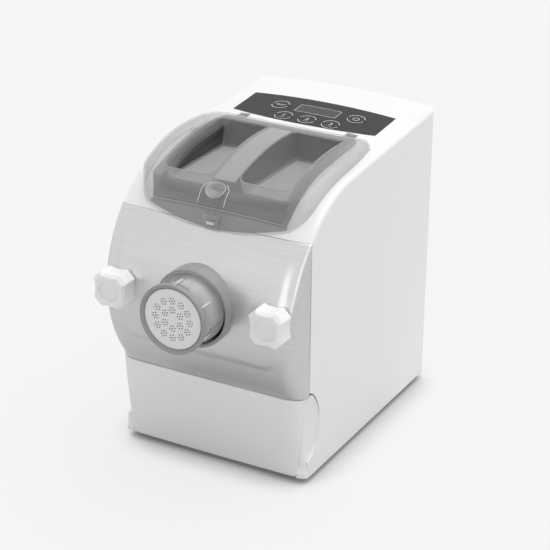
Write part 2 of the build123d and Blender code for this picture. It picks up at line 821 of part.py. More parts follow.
# Forming die: a disc with eighteen groups of seven holes
outer_clusters = 20.3
inner_clusters = 10.4
hole_pitch_radius = 3.1
cluster_places = [on_circle((0, 0), outer_clusters, 30 * turn) for turn in range(12)]
cluster_places += [on_circle((0, 0), inner_clusters, 30 + 60 * turn) for turn in range(6)]
with BuildPart() as forming_die:
    with BuildSketch(drive_plane(barrel_front_y - seat_gap)):
        Circle(die_flange_radius)
    extrude(amount=barrel_front_y - seat_gap - die_flange_y)
    with BuildSketch(drive_plane(die_flange_y)):
        Circle(die_radius)
    extrude(amount=die_flange_y - die_face_y)
    chamfer(forming_die.faces().sort_by(Axis.Y)[0].edges(), 0.6)
    with BuildSketch(drive_plane(barrel_front_y)):
        with Locations(*cluster_places):
            Circle(hole_radius)
            with PolarLocations(hole_pitch_radius, 6, 15):
                Circle(hole_radius)
    extrude(amount=12, mode=Mode.SUBTRACT)
forming_die.part.label = "forming_die"
export_step(forming_die.part, "parts/forming_die.step")

# Bayonet nut: clear body with three inner lugs and three outer ribs, and a dark front ring
rib_width = 2.4
rib_length = 9.0
with BuildPart() as die_nut:
    with BuildSketch(drive_plane(nut_step_y)):
        Circle(nut_radius)
    extrude(amount=nut_step_y - nut_ring_y)
    with BuildSketch(drive_plane(nut_back_y)):
        Circle(nut_step_radius)
    extrude(amount=nut_back_y - nut_step_y)
    with BuildSketch(drive_plane(nut_back_y + 1)):
        Circle(nut_bore)
    extrude(amount=nut_back_y - nut_ring_y + 2, mode=Mode.SUBTRACT)
    with BuildSketch(drive_plane(nut_lug_y)):
        lug_ring(barrel_radius + part_gap * 2, nut_bore + 1, 0)
    extrude(amount=lug_depth - 2 * part_gap)
    with BuildSketch(drive_plane(nut_step_y)):
        with PolarLocations(nut_radius + 0.4, 3, 60):
            Rectangle(rib_width, rib_length)
    extrude(amount=nut_step_y - nut_ring_y - 2)
die_nut.part.label = "die_nut"
export_step(die_nut.part, "parts/die_nut.step")

with BuildPart() as die_nut_ring:
    with BuildSketch(drive_plane(nut_ring_y)):
        Circle(nut_ring_radius)
        Circle(die_radius + part_gap, mode=Mode.SUBTRACT)
    extrude(amount=nut_ring_y - nut_front_y)
    chamfer(die_nut_ring.faces().sort_by(Axis.Y)[0].edges(), 1.0)
die_nut_ring.part.label = "die_nut_ring"
export_step(die_nut_ring.part, "parts/die_nut_ring.step")

# Mixing and pressing auger: a two-start screw in the barrel and four mixing arms in the tub
screw_radius = barrel_bore - 0.8
screw_core = 9.0
screw_front_y = barrel_front_y + 2.5
screw_rear_y = tub_front_y + 6
hub_rear_y = tub_rear_y - tub_wall - 0.6
hex_reach = 12.0
hex_depth = 13.0
screw_blade = 7.0
screw_turn = 540
hub_radius = screw_core + 6
hub_length = 16.0
arm_places = ((-62.0, 1), (-27.0, -1), (8.0, 1), (43.0, -1))
arm_reach = tub_radius - 6
paddle_x = tub_radius - 9
paddle_length = 24.0
with BuildSketch(drive_plane(screw_rear_y)) as screw_section:
    Circle(screw_core)
    SlotOverall(2 * screw_radius, screw_blade)
screw_solid = Solid.extrude_linear_with_rotation(
    screw_section.sketch.faces()[0],
    (0, screw_rear_y, axis_z),
    (0, screw_front_y - screw_rear_y, 0),
    screw_turn,
)
with BuildPart() as mixing_auger:
    add(screw_solid)
    with BuildSketch(drive_plane(hub_rear_y)):
        Circle(hub_radius)
    extrude(amount=hub_length)
    with BuildSketch(drive_plane(hub_rear_y)):
        Circle(screw_core)
    extrude(amount=hub_rear_y - screw_rear_y + 2)
    for arm_y, arm_side in arm_places:
        with BuildSketch(Plane.YZ):
            with Locations((arm_y, axis_z)):
                Ellipse(5, 7)
        extrude(amount=arm_side * arm_reach)
        with BuildSketch(across(arm_y + paddle_length / 2)):
            with Locations((arm_side * paddle_x, axis_z)):
                Ellipse(3, 9)
        extrude(amount=paddle_length)
    with BuildSketch(drive_plane(hub_rear_y)):
        RegularPolygon(hex_reach / 2 + seat_gap, 6, major_radius=False)
    extrude(amount=hex_depth, mode=Mode.SUBTRACT)
mixing_auger.part.label = "mixing_auger"
export_step(mixing_auger.part, "parts/mixing_auger.step")

# Drive shaft with a six-sided nose that fits the auger
shaft_step_y = 94.0
shaft_rear_y = 108.0
with BuildPart() as drive_shaft:
    with BuildSketch(drive_plane(hub_rear_y + seat_gap)):
        RegularPolygon(hex_reach / 2, 6, major_radius=False)
    extrude(amount=hex_depth - 1)
    with BuildSketch(drive_plane(shaft_step_y)):
        Circle(shaft_radius)
    extrude(amount=shaft_step_y - hub_rear_y - seat_gap)
    with BuildSketch(drive_plane(shaft_rear_y)):
        Circle(shaft_end_radius)
    extrude(amount=shaft_rear_y - shaft_step_y)
drive_shaft.part.label = "drive_shaft"
export_step(drive_shaft.part, "parts/drive_shaft.step")


def bearing(name, rear_y, length, bore, outer):
    with BuildPart() as ring:
        with BuildSketch(drive_plane(rear_y)):
            Circle(outer)
            Circle(bore + shaft_gap, mode=Mode.SUBTRACT)
        extrude(amount=length)
    ring.part.label = name
    export_step(ring.part, f"parts/{name}.step")


front_bearing_radius = 13.0
rear_bearing_radius = 10.0
bearing("front_shaft_bearing", chassis_y + 6, 5.9, shaft_radius, front_bearing_radius)
rear_bearing_y = gear_plate_y + gear_plate_thickness + 1
bearing("rear_shaft_bearing", rear_bearing_y, 6, shaft_end_radius, rear_bearing_radius)

# Gears: each list of teeth starts at the angle that meshes with its neighbour
output_radius = coarse_module * output_teeth / 2
small_radius = coarse_module * small_teeth / 2
large_radius = fine_module * large_teeth / 2
pinion_radius = fine_module * pinion_teeth / 2
reduction_place = on_circle((0, axis_z), output_radius + small_radius, -step_down_angle)
motor_place = on_circle(reduction_place, large_radius + pinion_radius, step_down_angle - 180)


def gear_teeth(module, teeth, first_angle):
    # straight-sided teeth on a root disc, thinner than their gaps so that they run free
    pitch_radius = module * teeth / 2
    root = pitch_radius - 1.1 * module
    tip = pitch_radius + 0.8 * module
    half_root = 0.26 * 3.1416 * module
    half_tip = 0.12 * 3.1416 * module
    Circle(root + 0.05)
    with PolarLocations(0, teeth, first_angle):
        Polygon(
            (root - module, -half_root),
            (root, -half_root),
            (tip, -half_tip),
            (tip, half_tip),
            (root, half_root),
            (root - module, half_root),
            align=None,
        )


def gear_plane(place, y):
    return Plane(origin=(place[0], y, place[1]), x_dir=(1, 0, 0), z_dir=(0, -1, 0))


output_gear_y = 92.0
output_gear_width = 10.0
web_inner_radius = 18.0
web_outer_radius = output_radius - 10
web_sink = 3.5
with BuildPart() as output_gear:
    with BuildSketch(drive_plane(output_gear_y)):
        gear_teeth(coarse_module, output_teeth, -step_down_angle)
    extrude(amount=output_gear_width)
    with BuildSketch(drive_plane(output_gear_y)):
        Circle(web_outer_radius)
        Circle(web_inner_radius, mode=Mode.SUBTRACT)
    extrude(amount=web_sink, mode=Mode.SUBTRACT)
    with BuildSketch(drive_plane(output_gear_y + 1)):
        Circle(shaft_radius)
    extrude(amount=12, mode=Mode.SUBTRACT)
output_gear.part.label = "output_gear"
export_step(output_gear.part, "parts/output_gear.step")

axle_radius = 4.0
small_gear_y = 94.0
small_gear_width = 13.0
large_gear_y = 100.0
large_gear_width = 6.0
with BuildPart() as reduction_gear:
    with BuildSketch(gear_plane(reduction_place, small_gear_y)):
        gear_teeth(coarse_module, small_teeth, 180 - step_down_angle + 180 / small_teeth)
    extrude(amount=small_gear_width)
    with BuildSketch(gear_plane(reduction_place, large_gear_y)):
        gear_teeth(fine_module, large_teeth, step_down_angle - 180)
    extrude(amount=large_gear_width)
    with BuildSketch(gear_plane(reduction_place, large_gear_y + 1)):
        Circle(axle_radius + shaft_gap)
    extrude(amount=22, mode=Mode.SUBTRACT)
reduction_gear.part.label = "reduction_gear"
export_step(reduction_gear.part, "parts/reduction_gear.step")

with BuildPart() as reduction_axle:
    with BuildSketch(gear_plane(reduction_place, gear_plate_y)):
        Circle(axle_radius)
    extrude(amount=gear_plate_y - chassis_y - chassis_thickness)
reduction_axle.part.label = "reduction_axle"
export_step(reduction_axle.part, "parts/reduction_axle.step")

with BuildPart() as chassis_bulkhead:
    with BuildSketch(across(chassis_y + chassis_thickness)):
        with Locations((0, (base_top_z + chassis_top_z) / 2)):
            Rectangle(chassis_width, chassis_top_z - base_top_z)
        with Locations((0, axis_z)):
            Circle(front_bearing_radius + seat_gap, mode=Mode.SUBTRACT)
    extrude(amount=chassis_thickness)
    with BuildSketch(Plane.XY.offset(base_top_z)):
        with Locations((0, chassis_y + chassis_foot / 2)):
            Rectangle(chassis_width, chassis_foot)
    extrude(amount=chassis_thickness)
chassis_bulkhead.part.label = "chassis_bulkhead"
export_step(chassis_bulkhead.part, "parts/chassis_bulkhead.step")

standoff_places = [(-82, axis_z + 37), (66, axis_z + 52), (66, axis_z - 118), (-82, axis_z - 118)]
with BuildPart() as gear_plate:
    with BuildSketch(across(gear_plate_y + gear_plate_thickness)):
        with Locations((-8, axis_z - 33)):
            RectangleRounded(170, 200, 8)
        with Locations((0, axis_z)):
            Circle(rear_bearing_radius + seat_gap, mode=Mode.SUBTRACT)
        with Locations(motor_place):
            Circle(motor_shaft_radius + 2, mode=Mode.SUBTRACT)
    extrude(amount=gear_plate_thickness)
    with BuildSketch(across(gear_plate_y)):
        with Locations(*standoff_places):
            Circle(5)
    extrude(amount=gear_plate_y - chassis_y - chassis_thickness)
gear_plate.part.label = "gear_plate"
export_step(gear_plate.part, "parts/gear_plate.step")

# Motor: housing, stator ring, rotor with its shaft, pinion and fan, and two saddles
motor_wall = 3.0
stator_rear_y = motor_rear_y - 8
stator_length = 42.0
rotor_rear_y = motor_rear_y - 9
rotor_length = 40.0
rotor_radius = 24.0
rotor_gap = 1.0
motor_shaft_rear_y = 177.0
motor_shaft_front_y = 93.5
pinion_y = 101.0
pinion_width = 8.0
fan_y = 176.0
fan_hub_radius = 9.0
blade_count = 9
with BuildPart() as motor_housing:
    with BuildSketch(gear_plane(motor_place, motor_rear_y)):
        Circle(motor_radius)
    extrude(amount=motor_rear_y - motor_front_y - seat_gap)
    with BuildSketch(gear_plane(motor_place, motor_rear_y - motor_wall)):
        Circle(motor_radius - motor_wall)
    extrude(amount=motor_rear_y - motor_front_y - 2 * motor_wall, mode=Mode.SUBTRACT)
    with BuildSketch(gear_plane(motor_place, motor_rear_y + 1)):
        Circle(motor_shaft_radius + shaft_gap)
    extrude(amount=motor_rear_y, mode=Mode.SUBTRACT)
motor_housing.part.label = "motor_housing"
export_step(motor_housing.part, "parts/motor_housing.step")

with BuildPart() as motor_stator:
    with BuildSketch(gear_plane(motor_place, stator_rear_y)):
        Circle(motor_radius - motor_wall - seat_gap)
        Circle(rotor_radius + rotor_gap, mode=Mode.SUBTRACT)
    extrude(amount=stator_length)
motor_stator.part.label = "motor_stator"
export_step(motor_stator.part, "parts/motor_stator.step")

with BuildPart() as motor_rotor:
    with BuildSketch(gear_plane(motor_place, motor_shaft_rear_y)):
        Circle(motor_shaft_radius)
    extrude(amount=motor_shaft_rear_y - motor_shaft_front_y)
    with BuildSketch(gear_plane(motor_place, rotor_rear_y)):
        Circle(rotor_radius)
    extrude(amount=rotor_length)
motor_rotor.part.label = "motor_rotor"
export_step(motor_rotor.part, "parts/motor_rotor.step")

with BuildPart() as motor_pinion:
    with BuildSketch(gear_plane(motor_place, pinion_y)):
        gear_teeth(fine_module, pinion_teeth, step_down_angle + 180 / pinion_teeth)
        Circle(motor_shaft_radius, mode=Mode.SUBTRACT)
    extrude(amount=pinion_width)
motor_pinion.part.label = "motor_pinion"
export_step(motor_pinion.part, "parts/motor_pinion.step")

with BuildPart() as cooling_fan:
    with BuildSketch(gear_plane(motor_place, fan_y)):
        Circle(fan_hub_radius)
        with PolarLocations(2 * fan_hub_radius, blade_count):
            Rectangle(24, 2.2)
        Circle(motor_shaft_radius, mode=Mode.SUBTRACT)
    extrude(amount=9)
cooling_fan.part.label = "cooling_fan"
export_step(cooling_fan.part, "parts/cooling_fan.step")

mount_places = (116.0, 158.0)
mount_width = 8.0
mount_half_width = 34.0
saddle_top_z = motor_place[1] - 20
with BuildPart() as motor_mounts:
    for mount_y in mount_places:
        with BuildSketch(across(mount_y + 6)):
            with Locations((motor_place[0], (base_top_z + saddle_top_z) / 2)):
                Rectangle(2 * mount_half_width, saddle_top_z - base_top_z)
            with Locations(motor_place):
                Circle(motor_radius + seat_gap, mode=Mode.SUBTRACT)
        extrude(amount=mount_width)
motor_mounts.part.label = "motor_mounts"
export_step(motor_mounts.part, "parts/motor_mounts.step")

# Mains board and inlet
board_rise = 9.0
mains_board_place = (70.0, 124.0)
mains_board_size = (62.0, 66.0)
post_pitch = (52.0, 56.0)
post_radius = 3.0
coil_place = (58.0, 112.0)
coil_size = (26.0, 24.0)
coil_height = 20.0
reservoir_places = ((86.0, 112.0), (86.0, 130.0))
reservoir_radius = 7.0
reservoir_height = 24.0
terminal_place = (60.0, 146.0)
terminal_size = (30.0, 10.0)
terminal_height = 11.0
mains_board_z = base_top_z + board_rise
with BuildPart() as power_board:
    with BuildSketch(Plane.XY.offset(mains_board_z)):
        with Locations(mains_board_place):
            Rectangle(*mains_board_size)
    extrude(amount=board_thickness)
    with BuildSketch(Plane.XY.offset(base_top_z)):
        with Locations(mains_board_place):
            with GridLocations(*post_pitch, 2, 2):
                Circle(post_radius)
    extrude(amount=board_rise)
    with BuildSketch(Plane.XY.offset(mains_board_z + board_thickness)):
        with Locations(coil_place):
            Rectangle(*coil_size)
    extrude(amount=coil_height)
    with BuildSketch(Plane.XY.offset(mains_board_z + board_thickness)):
        with Locations(*reservoir_places):
            Circle(reservoir_radius)
    extrude(amount=reservoir_height)
    with BuildSketch(Plane.XY.offset(mains_board_z + board_thickness)):
        with Locations(terminal_place):
            Rectangle(*terminal_size)
    extrude(amount=terminal_height)
power_board.part.label = "power_board"
export_step(power_board.part, "parts/power_board.step")

inlet_length = 24.0
socket_depth = 16.0
socket_wall = 2.0
pin_sink = 4.0
pin_pitch = 7.0
with BuildPart() as mains_inlet:
    with BuildSketch(across(back_y)):
        with Locations((inlet_x, inlet_z)):
            Rectangle(inlet_width - 2 * seat_gap, inlet_height - 2 * seat_gap)
    extrude(amount=inlet_length)
    with BuildSketch(across(back_y - wall - seat_gap)):
        with Locations((inlet_x, inlet_z)):
            Rectangle(inlet_width + 8, inlet_height + 8)
    extrude(amount=3)
    with BuildSketch(across(back_y)):
        with Locations((inlet_x, inlet_z)):
            RectangleRounded(inlet_width - 2 * socket_wall, inlet_height - 2 * socket_wall, 3)
    extrude(amount=socket_depth, mode=Mode.SUBTRACT)
    with BuildSketch(across(back_y - pin_sink)):
        with Locations(*[(inlet_x + step * pin_pitch, inlet_z + 2 - 4 * abs(step)) for step in (-1, 0, 1)]):
            Rectangle(2, 4)
    extrude(amount=socket_depth - 2)
mains_inlet.part.label = "mains_inlet"
export_step(mains_inlet.part, "parts/mains_inlet.step")

# Control plate, display window, keys and the board under them
with BuildPart() as control_plate:
    add(prism(plate_outline(seat_gap)))
    add(casing_block(0.0, 0), mode=Mode.INTERSECT)
    add(casing_block(plate_thickness, 0), mode=Mode.SUBTRACT)
    with BuildSketch(Plane.XY.offset(axis_z)):
        with Locations(*key_places.values()):
            Circle(key_radius + key_hole_gap)
        with Locations((keys_x, upper_row_y)):
            Rectangle(display_width, display_depth)
    extrude(amount=height, mode=Mode.SUBTRACT)
control_plate.part.label = "control_plate"
export_step(control_plate.part, "parts/control_plate.step")

with BuildPart() as display_window:
    with BuildSketch(Plane.XY.offset(axis_z)):
        with Locations((keys_x, upper_row_y)):
            Rectangle(display_width - 2 * seat_gap, display_depth - 2 * seat_gap)
    extrude(amount=height)
    add(casing_block(0.0, 0), mode=Mode.INTERSECT)
    add(casing_block(plate_thickness, 0), mode=Mode.SUBTRACT)
display_window.part.label = "display_window"
export_step(display_window.part, "parts/display_window.step")

switch_top_z = board_z + board_thickness + switch_height
key_depth = 7.0
key_flange = 1.6
key_flange_height = 2.6
plunger_radius = 3.0
key_rise = 0.3
for key_name, place in key_places.items():
    with BuildPart() as key:
        with BuildSketch(Plane.XY.offset(deck_z(*place) - key_depth)):
            with Locations(place):
                Circle(key_radius)
        extrude(amount=12)
        with BuildSketch(Plane.XY.offset(deck_z(*place) - key_depth)):
            with Locations(place):
                Circle(key_radius + key_flange)
        extrude(amount=key_flange_height)
        add(casing_block(-key_rise, 0), mode=Mode.INTERSECT)
        with BuildSketch(Plane.XY.offset(switch_top_z + key_travel + 0.1)):
            with Locations(place):
                Circle(plunger_radius)
        extrude(amount=deck_z(*place) - key_depth + 1 - switch_top_z - key_travel)
    key.part.label = key_name
    export_step(key.part, f"parts/{key_name}.step")

control_board_y = 108.0
control_board_size = (140.0, 54.0)
switch_size = 7.0
with BuildPart() as control_board:
    with BuildSketch(Plane.XY.offset(board_z)):
        with Locations((keys_x, control_board_y)):
            Rectangle(*control_board_size)
    extrude(amount=board_thickness)
    with BuildSketch(Plane.XY.offset(board_z + board_thickness)):
        with Locations(*key_places.values()):
            Rectangle(switch_size, switch_size)
    extrude(amount=switch_height)
control_board.part.label = "control_board"
export_step(control_board.part, "parts/control_board.step")

display_rise = 9.0
with BuildPart() as display_module:
    with BuildSketch(Plane.XY.offset(board_z + board_thickness)):
        with Locations((keys_x, upper_row_y + 2)):
            Rectangle(display_width - 6, display_depth - 6)
    extrude(amount=display_rise)
display_module.part.label = "display_module"
export_step(display_module.part, "parts/display_module.step")

# Posts that hang the control board from the deck
post_reach = 66.0
post_y = 128.0
with BuildPart() as board_posts:
    with BuildSketch(Plane.XY.offset(board_z + board_thickness)):
        with Locations((keys_x - post_reach, post_y), (keys_x + post_reach, post_y)):
            Circle(post_radius + 0.5)
    extrude(amount=height - board_z)
    add(casing_block(wall + seat_gap, 0), mode=Mode.INTERSECT)
board_posts.part.label = "board_posts"
export_step(board_posts.part, "parts/board_posts.step")

# Lid: a clear shell with an inner skirt, two wells, a seal, a magnet and a latch
with BuildPart() as lid_outer:
    with BuildSketch(Plane.YZ):
        add(lid_profile(0.0, lid_low_z - 24))
    extrude(amount=half_width, both=True)
    add(prism(lid_outline(0.0)), mode=Mode.INTERSECT)
    high_edges = [edge for edge in lid_outer.edges() if edge.center().Z > lid_front_edge_z]
    fillet([edge for edge in high_edges if edge.center().Y < lid_rear_y - 1], lid_edge_round)
with BuildPart() as lid_inner:
    with BuildSketch(Plane.YZ):
        add(lid_profile(lid_wall, lid_low_z - 34))
    extrude(amount=half_width, both=True)
    add(prism(lid_outline(lid_wall)), mode=Mode.INTERSECT)

skirt_half_width = half_width - 32.5
skirt_front_y = -97.5
skirt_rear_y = 60.0
skirt_corner = 4.0


def skirt_outline(inset):
    # plan outline of the inner skirt that carries the seal
    with BuildSketch() as outline:
        with Locations((0, (skirt_front_y + skirt_rear_y) / 2)):
            side = 2 * (skirt_half_width - inset)
            RectangleRounded(side, skirt_rear_y - skirt_front_y - 2 * inset, skirt_corner - inset)
    return outline.sketch


seal_height = 3.6
latch_half_width = 9.0
latch_top_z = height - 49
latch_front_y = lid_front_y - lid_front_overlap
latch_thickness = 1.8
latch_pin_y = lid_front_y + 1.0
latch_pin_z = latch_top_z - 2.2
latch_pin_radius = 0.6
latch_pin_reach = 1.4
magnet_place = (-half_width + 19.5, 10.0)
magnet_radius = 4.0
magnet_height = 3.0
magnet_rise = 2.0
with BuildPart() as lid_shell:
    add(lid_outer.part)
    add(lid_inner.part, mode=Mode.SUBTRACT)
    skirt_ring = prism(skirt_outline(0.0)) - prism(skirt_outline(2.0))
    add(skirt_ring & lid_inner.part - casing_block(-lid_lift - seal_height - seat_gap, 0))
    with BuildSketch(Plane.XY.offset(deck_z(*magnet_place) + lid_lift + magnet_rise + magnet_height)):
        with Locations(magnet_place):
            Circle(magnet_radius)
    extrude(amount=lid_z(magnet_place[1]) - lid_wall - deck_z(*magnet_place) - lid_lift - 4)
    for side in (-1, 1):
        add(prism(well_outline(0.0, side)) - under_lid(lid_wall + 4), mode=Mode.SUBTRACT)
    add(casing_block(-lid_lift, 0), mode=Mode.SUBTRACT)
    with BuildSketch(Plane.XY):
        Rectangle(2 * half_width, depth)
    extrude(amount=lid_low_z, mode=Mode.SUBTRACT)
    with BuildSketch(across(lid_front_y + 6)):
        with Locations((0, latch_top_z - 20)):
            Rectangle(2 * (latch_half_width + running_gap), 40)
    extrude(amount=20, mode=Mode.SUBTRACT)
    with BuildSketch(Plane.YZ.offset(-latch_half_width - latch_pin_reach - part_gap)):
        with Locations((latch_pin_y, latch_pin_z)):
            Circle(latch_pin_radius + shaft_gap)
    extrude(amount=2 * (latch_half_width + latch_pin_reach + part_gap), mode=Mode.SUBTRACT)
    for side in (-1, 1):
        with BuildSketch(Plane.YZ.offset(side * hinge_x - hinge_arm_width / 2)):
            with Locations((hinge_y, hinge_z)):
                Circle(4.6)
            Polygon(
                (lid_rear_y - 3, lid_z(lid_rear_y) - 1),
                (lid_rear_y - 3, hinge_z + 2),
                (hinge_y - 3.8, hinge_z - 2.4),
                (hinge_y + 1.5, hinge_z + 4.3),
                (lid_rear_y - 0.6, lid_z(lid_rear_y) - 1),
                align=None,
            )
            with Locations((hinge_y, hinge_z)):
                Circle(hinge_pin_radius + shaft_gap, mode=Mode.SUBTRACT)
        extrude(amount=hinge_arm_width)
lid_shell.part.label = "lid_shell"
export_step(lid_shell.part, "parts/lid_shell.step")

with BuildPart() as lid_hinge_pins:
    for side in (-1, 1):
        with BuildSketch(Plane.YZ.offset(side * hinge_x - hinge_lug_reach)):
            with Locations((hinge_y, hinge_z)):
                Circle(hinge_pin_radius)
        extrude(amount=2 * hinge_lug_reach)
lid_hinge_pins.part.label = "lid_hinge_pins"
export_step(lid_hinge_pins.part, "parts/lid_hinge_pins.step")

ledge_inset = 6.0
with BuildPart() as lid_wells:
    for side in (-1, 1):
        outer = prism(well_outline(seat_gap, side))
        inner = prism(well_outline(well_wall, side))
        under_ledge = under_lid(well_ledge_drop + well_wall)
        under_floor = under_lid(well_floor_drop + well_wall)
        rim_ring = prism(well_outline(-1.5, side)) - prism(well_outline(1.6, side))
        rim = rim_ring & under_lid(lid_wall + seat_gap)
        wall_ring = (outer - inner) & under_lid(0.3)
        ledge = outer & under_lid(well_ledge_drop) - under_ledge
        cup = prism(well_outline(ledge_inset, side)) & under_lid(well_ledge_drop) - under_floor
        hollow = prism(well_outline(ledge_inset + well_wall, side)) - under_lid(well_floor_drop)
        add(rim - under_lid(lid_wall + 2.5) + (wall_ring - under_ledge) + ledge + cup - hollow)
lid_wells.part.label = "lid_wells"
export_step(lid_wells.part, "parts/lid_wells.step")

with BuildPart() as lid_seal:
    add(prism(skirt_outline(0.0)) - prism(skirt_outline(2.0)))
    add(casing_block(-lid_lift - seal_height, 0), mode=Mode.INTERSECT)
    add(casing_block(-lid_lift, 0), mode=Mode.SUBTRACT)
    add(lid_inner.part, mode=Mode.INTERSECT)
lid_seal.part.label = "lid_seal"
export_step(lid_seal.part, "parts/lid_seal.step")

with BuildPart() as lid_magnet:
    with BuildSketch(Plane.XY.offset(deck_z(*magnet_place) + lid_lift + magnet_rise)):
        with Locations(magnet_place):
            Circle(magnet_radius)
    extrude(amount=magnet_height)
lid_magnet.part.label = "lid_magnet"
export_step(lid_magnet.part, "parts/lid_magnet.step")

with BuildPart() as lid_switch:
    with BuildSketch(Plane.XY.offset(deck_z(*magnet_place) - wall - 12)):
        with Locations(magnet_place):
            Rectangle(12, 24)
    extrude(amount=20)
    add(casing_block(wall + seat_gap, 0), mode=Mode.INTERSECT)
lid_switch.part.label = "lid_switch"
export_step(lid_switch.part, "parts/lid_switch.step")

# Latch that swings out from the lid's front, and the catch that it hooks under
hook_depth = 0.8
latch_low_z = latch_top_z - 16
catch_z = height - 61
with BuildPart() as lid_latch:
    with BuildSketch(Plane.YZ.offset(-latch_half_width)):
        Polygon(
            (latch_front_y, latch_top_z - running_gap),
            (latch_front_y, latch_low_z),
            (latch_front_y + latch_thickness + hook_depth, latch_low_z),
            (latch_front_y + latch_thickness + hook_depth, catch_z - 0.6),
            (latch_front_y + latch_thickness, catch_z - 0.6),
            (latch_front_y + latch_thickness, latch_top_z - running_gap),
            align=None,
        )
    extrude(amount=2 * latch_half_width)
    with BuildSketch(Plane.YZ.offset(-latch_half_width - latch_pin_reach)):
        with Locations((latch_pin_y, latch_pin_z)):
            Circle(latch_pin_radius)
    extrude(amount=2 * (latch_half_width + latch_pin_reach))
lid_latch.part.label = "lid_latch"
export_step(lid_latch.part, "parts/lid_latch.step")

catch_half_width = 7.0
catch_thickness = 3.0
catch_rear_y = bulkhead_y + 1
with BuildPart() as latch_catch:
    with BuildSketch(Plane.YZ.offset(-catch_half_width)):
        Polygon(
            (latch_front_y + latch_thickness + hook_depth + running_gap, catch_z),
            (catch_rear_y, catch_z),
            (catch_rear_y, catch_z + catch_thickness),
            (latch_front_y + latch_thickness + hook_depth + running_gap, catch_z + catch_thickness),
            align=None,
        )
    extrude(amount=2 * catch_half_width)
    add(casing_block(-0.05, 0), mode=Mode.SUBTRACT)
latch_catch.part.label = "latch_catch"
export_step(latch_catch.part, "parts/latch_catch.step")
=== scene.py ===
# Electric pasta maker: finishes, new surfaces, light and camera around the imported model
# shapes are worked out in millimetres, and mesh turns them into metres
import json
from math import cos, pi, radians, sin, tau

import bpy
import numpy as np
from mathutils import Matrix, Vector


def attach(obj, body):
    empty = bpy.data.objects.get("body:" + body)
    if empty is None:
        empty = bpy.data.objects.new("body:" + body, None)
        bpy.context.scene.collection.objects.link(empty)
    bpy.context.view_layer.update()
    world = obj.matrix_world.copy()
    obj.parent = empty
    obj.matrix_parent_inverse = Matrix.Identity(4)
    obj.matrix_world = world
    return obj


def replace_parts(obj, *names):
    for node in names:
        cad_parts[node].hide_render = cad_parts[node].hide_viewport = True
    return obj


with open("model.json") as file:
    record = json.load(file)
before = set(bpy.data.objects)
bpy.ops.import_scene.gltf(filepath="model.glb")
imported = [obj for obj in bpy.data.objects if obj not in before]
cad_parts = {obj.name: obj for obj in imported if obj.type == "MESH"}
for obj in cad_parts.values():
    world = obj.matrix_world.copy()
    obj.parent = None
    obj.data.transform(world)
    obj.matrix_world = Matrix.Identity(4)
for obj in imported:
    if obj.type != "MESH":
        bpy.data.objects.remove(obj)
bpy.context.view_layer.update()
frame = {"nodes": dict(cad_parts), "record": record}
nodes = frame["nodes"]
scene = bpy.context.scene
print("frame loaded:", len(nodes), "nodes")

# the place is in metres, the angles in degrees and the lens and sensor in millimetres
camera = {
    "place": (0.921794, -1.663185, 1.035281),
    "azimuth": 28.612,
    "elevation": 24.241,
    "roll": 0.649,
    "lens": 125.18,
    "sensor": 36.0,
    "farthest": 50.0,
}


def makeCamera(c):
    # axes from the azimuth and elevation of the view, then turned by the roll about the line of sight
    az, el, roll = radians(c["azimuth"]), radians(c["elevation"]), radians(c["roll"])
    back = Vector((sin(az) * cos(el), -cos(az) * cos(el), sin(el)))
    flat = Vector((cos(az), sin(az), 0.0))
    rise = flat.cross(-back)
    right = flat * cos(roll) + rise * sin(roll)
    up = rise * cos(roll) - flat * sin(roll)
    data = bpy.data.cameras.new("viewCamera")
    data.lens = c["lens"]
    data.sensor_width = c["sensor"]
    data.sensor_fit = "HORIZONTAL"
    data.clip_end = c["farthest"]
    eye = bpy.data.objects.new("viewCamera", data)
    scene.collection.objects.link(eye)
    turn = Matrix((right, up, back)).transposed().to_4x4()
    eye.matrix_world = Matrix.Translation(c["place"]) @ turn
    scene.camera = eye


makeCamera(camera)


class Wire:
    # one output in a node tree; Python's operators add Math nodes
    def __init__(self, tree, socket):
        self.tree = tree
        self.socket = socket

    def calc(self, operation, *others):
        return self.tree.add("ShaderNodeMath", {"operation": operation}, dict(enumerate((self, *others))))

    def __add__(self, other):
        return self.calc("ADD", other)

    def __mul__(self, other):
        return self.calc("MULTIPLY", other)

    __radd__ = __add__
    __rmul__ = __mul__

    def band(self, low, high):
        # 0 below low, 1 above high, smooth between
        values = {"Value": self, "From Min": low, "From Max": high}
        return self.tree.add("ShaderNodeMapRange", {"interpolation_type": "SMOOTHSTEP"}, values)


class Tree:
    # a node tree; add makes a node, sets its settings, then the values or links of its sockets
    def __init__(self, tree):
        self.nodes = tree.nodes
        self.links = tree.links

    def add(self, kind, settings=None, values=None, out=0):
        node = self.nodes.new(kind)
        for key, value in (settings or {}).items():
            setattr(node, key, value)
        for key, value in (values or {}).items():
            if isinstance(value, Wire):
                self.links.new(value.socket, node.inputs[key])
            else:
                node.inputs[key].default_value = value
        return Wire(self, node.outputs[out])

    def join(self, wire, node, socket):
        self.links.new(wire.socket, self.nodes[node].inputs[socket])


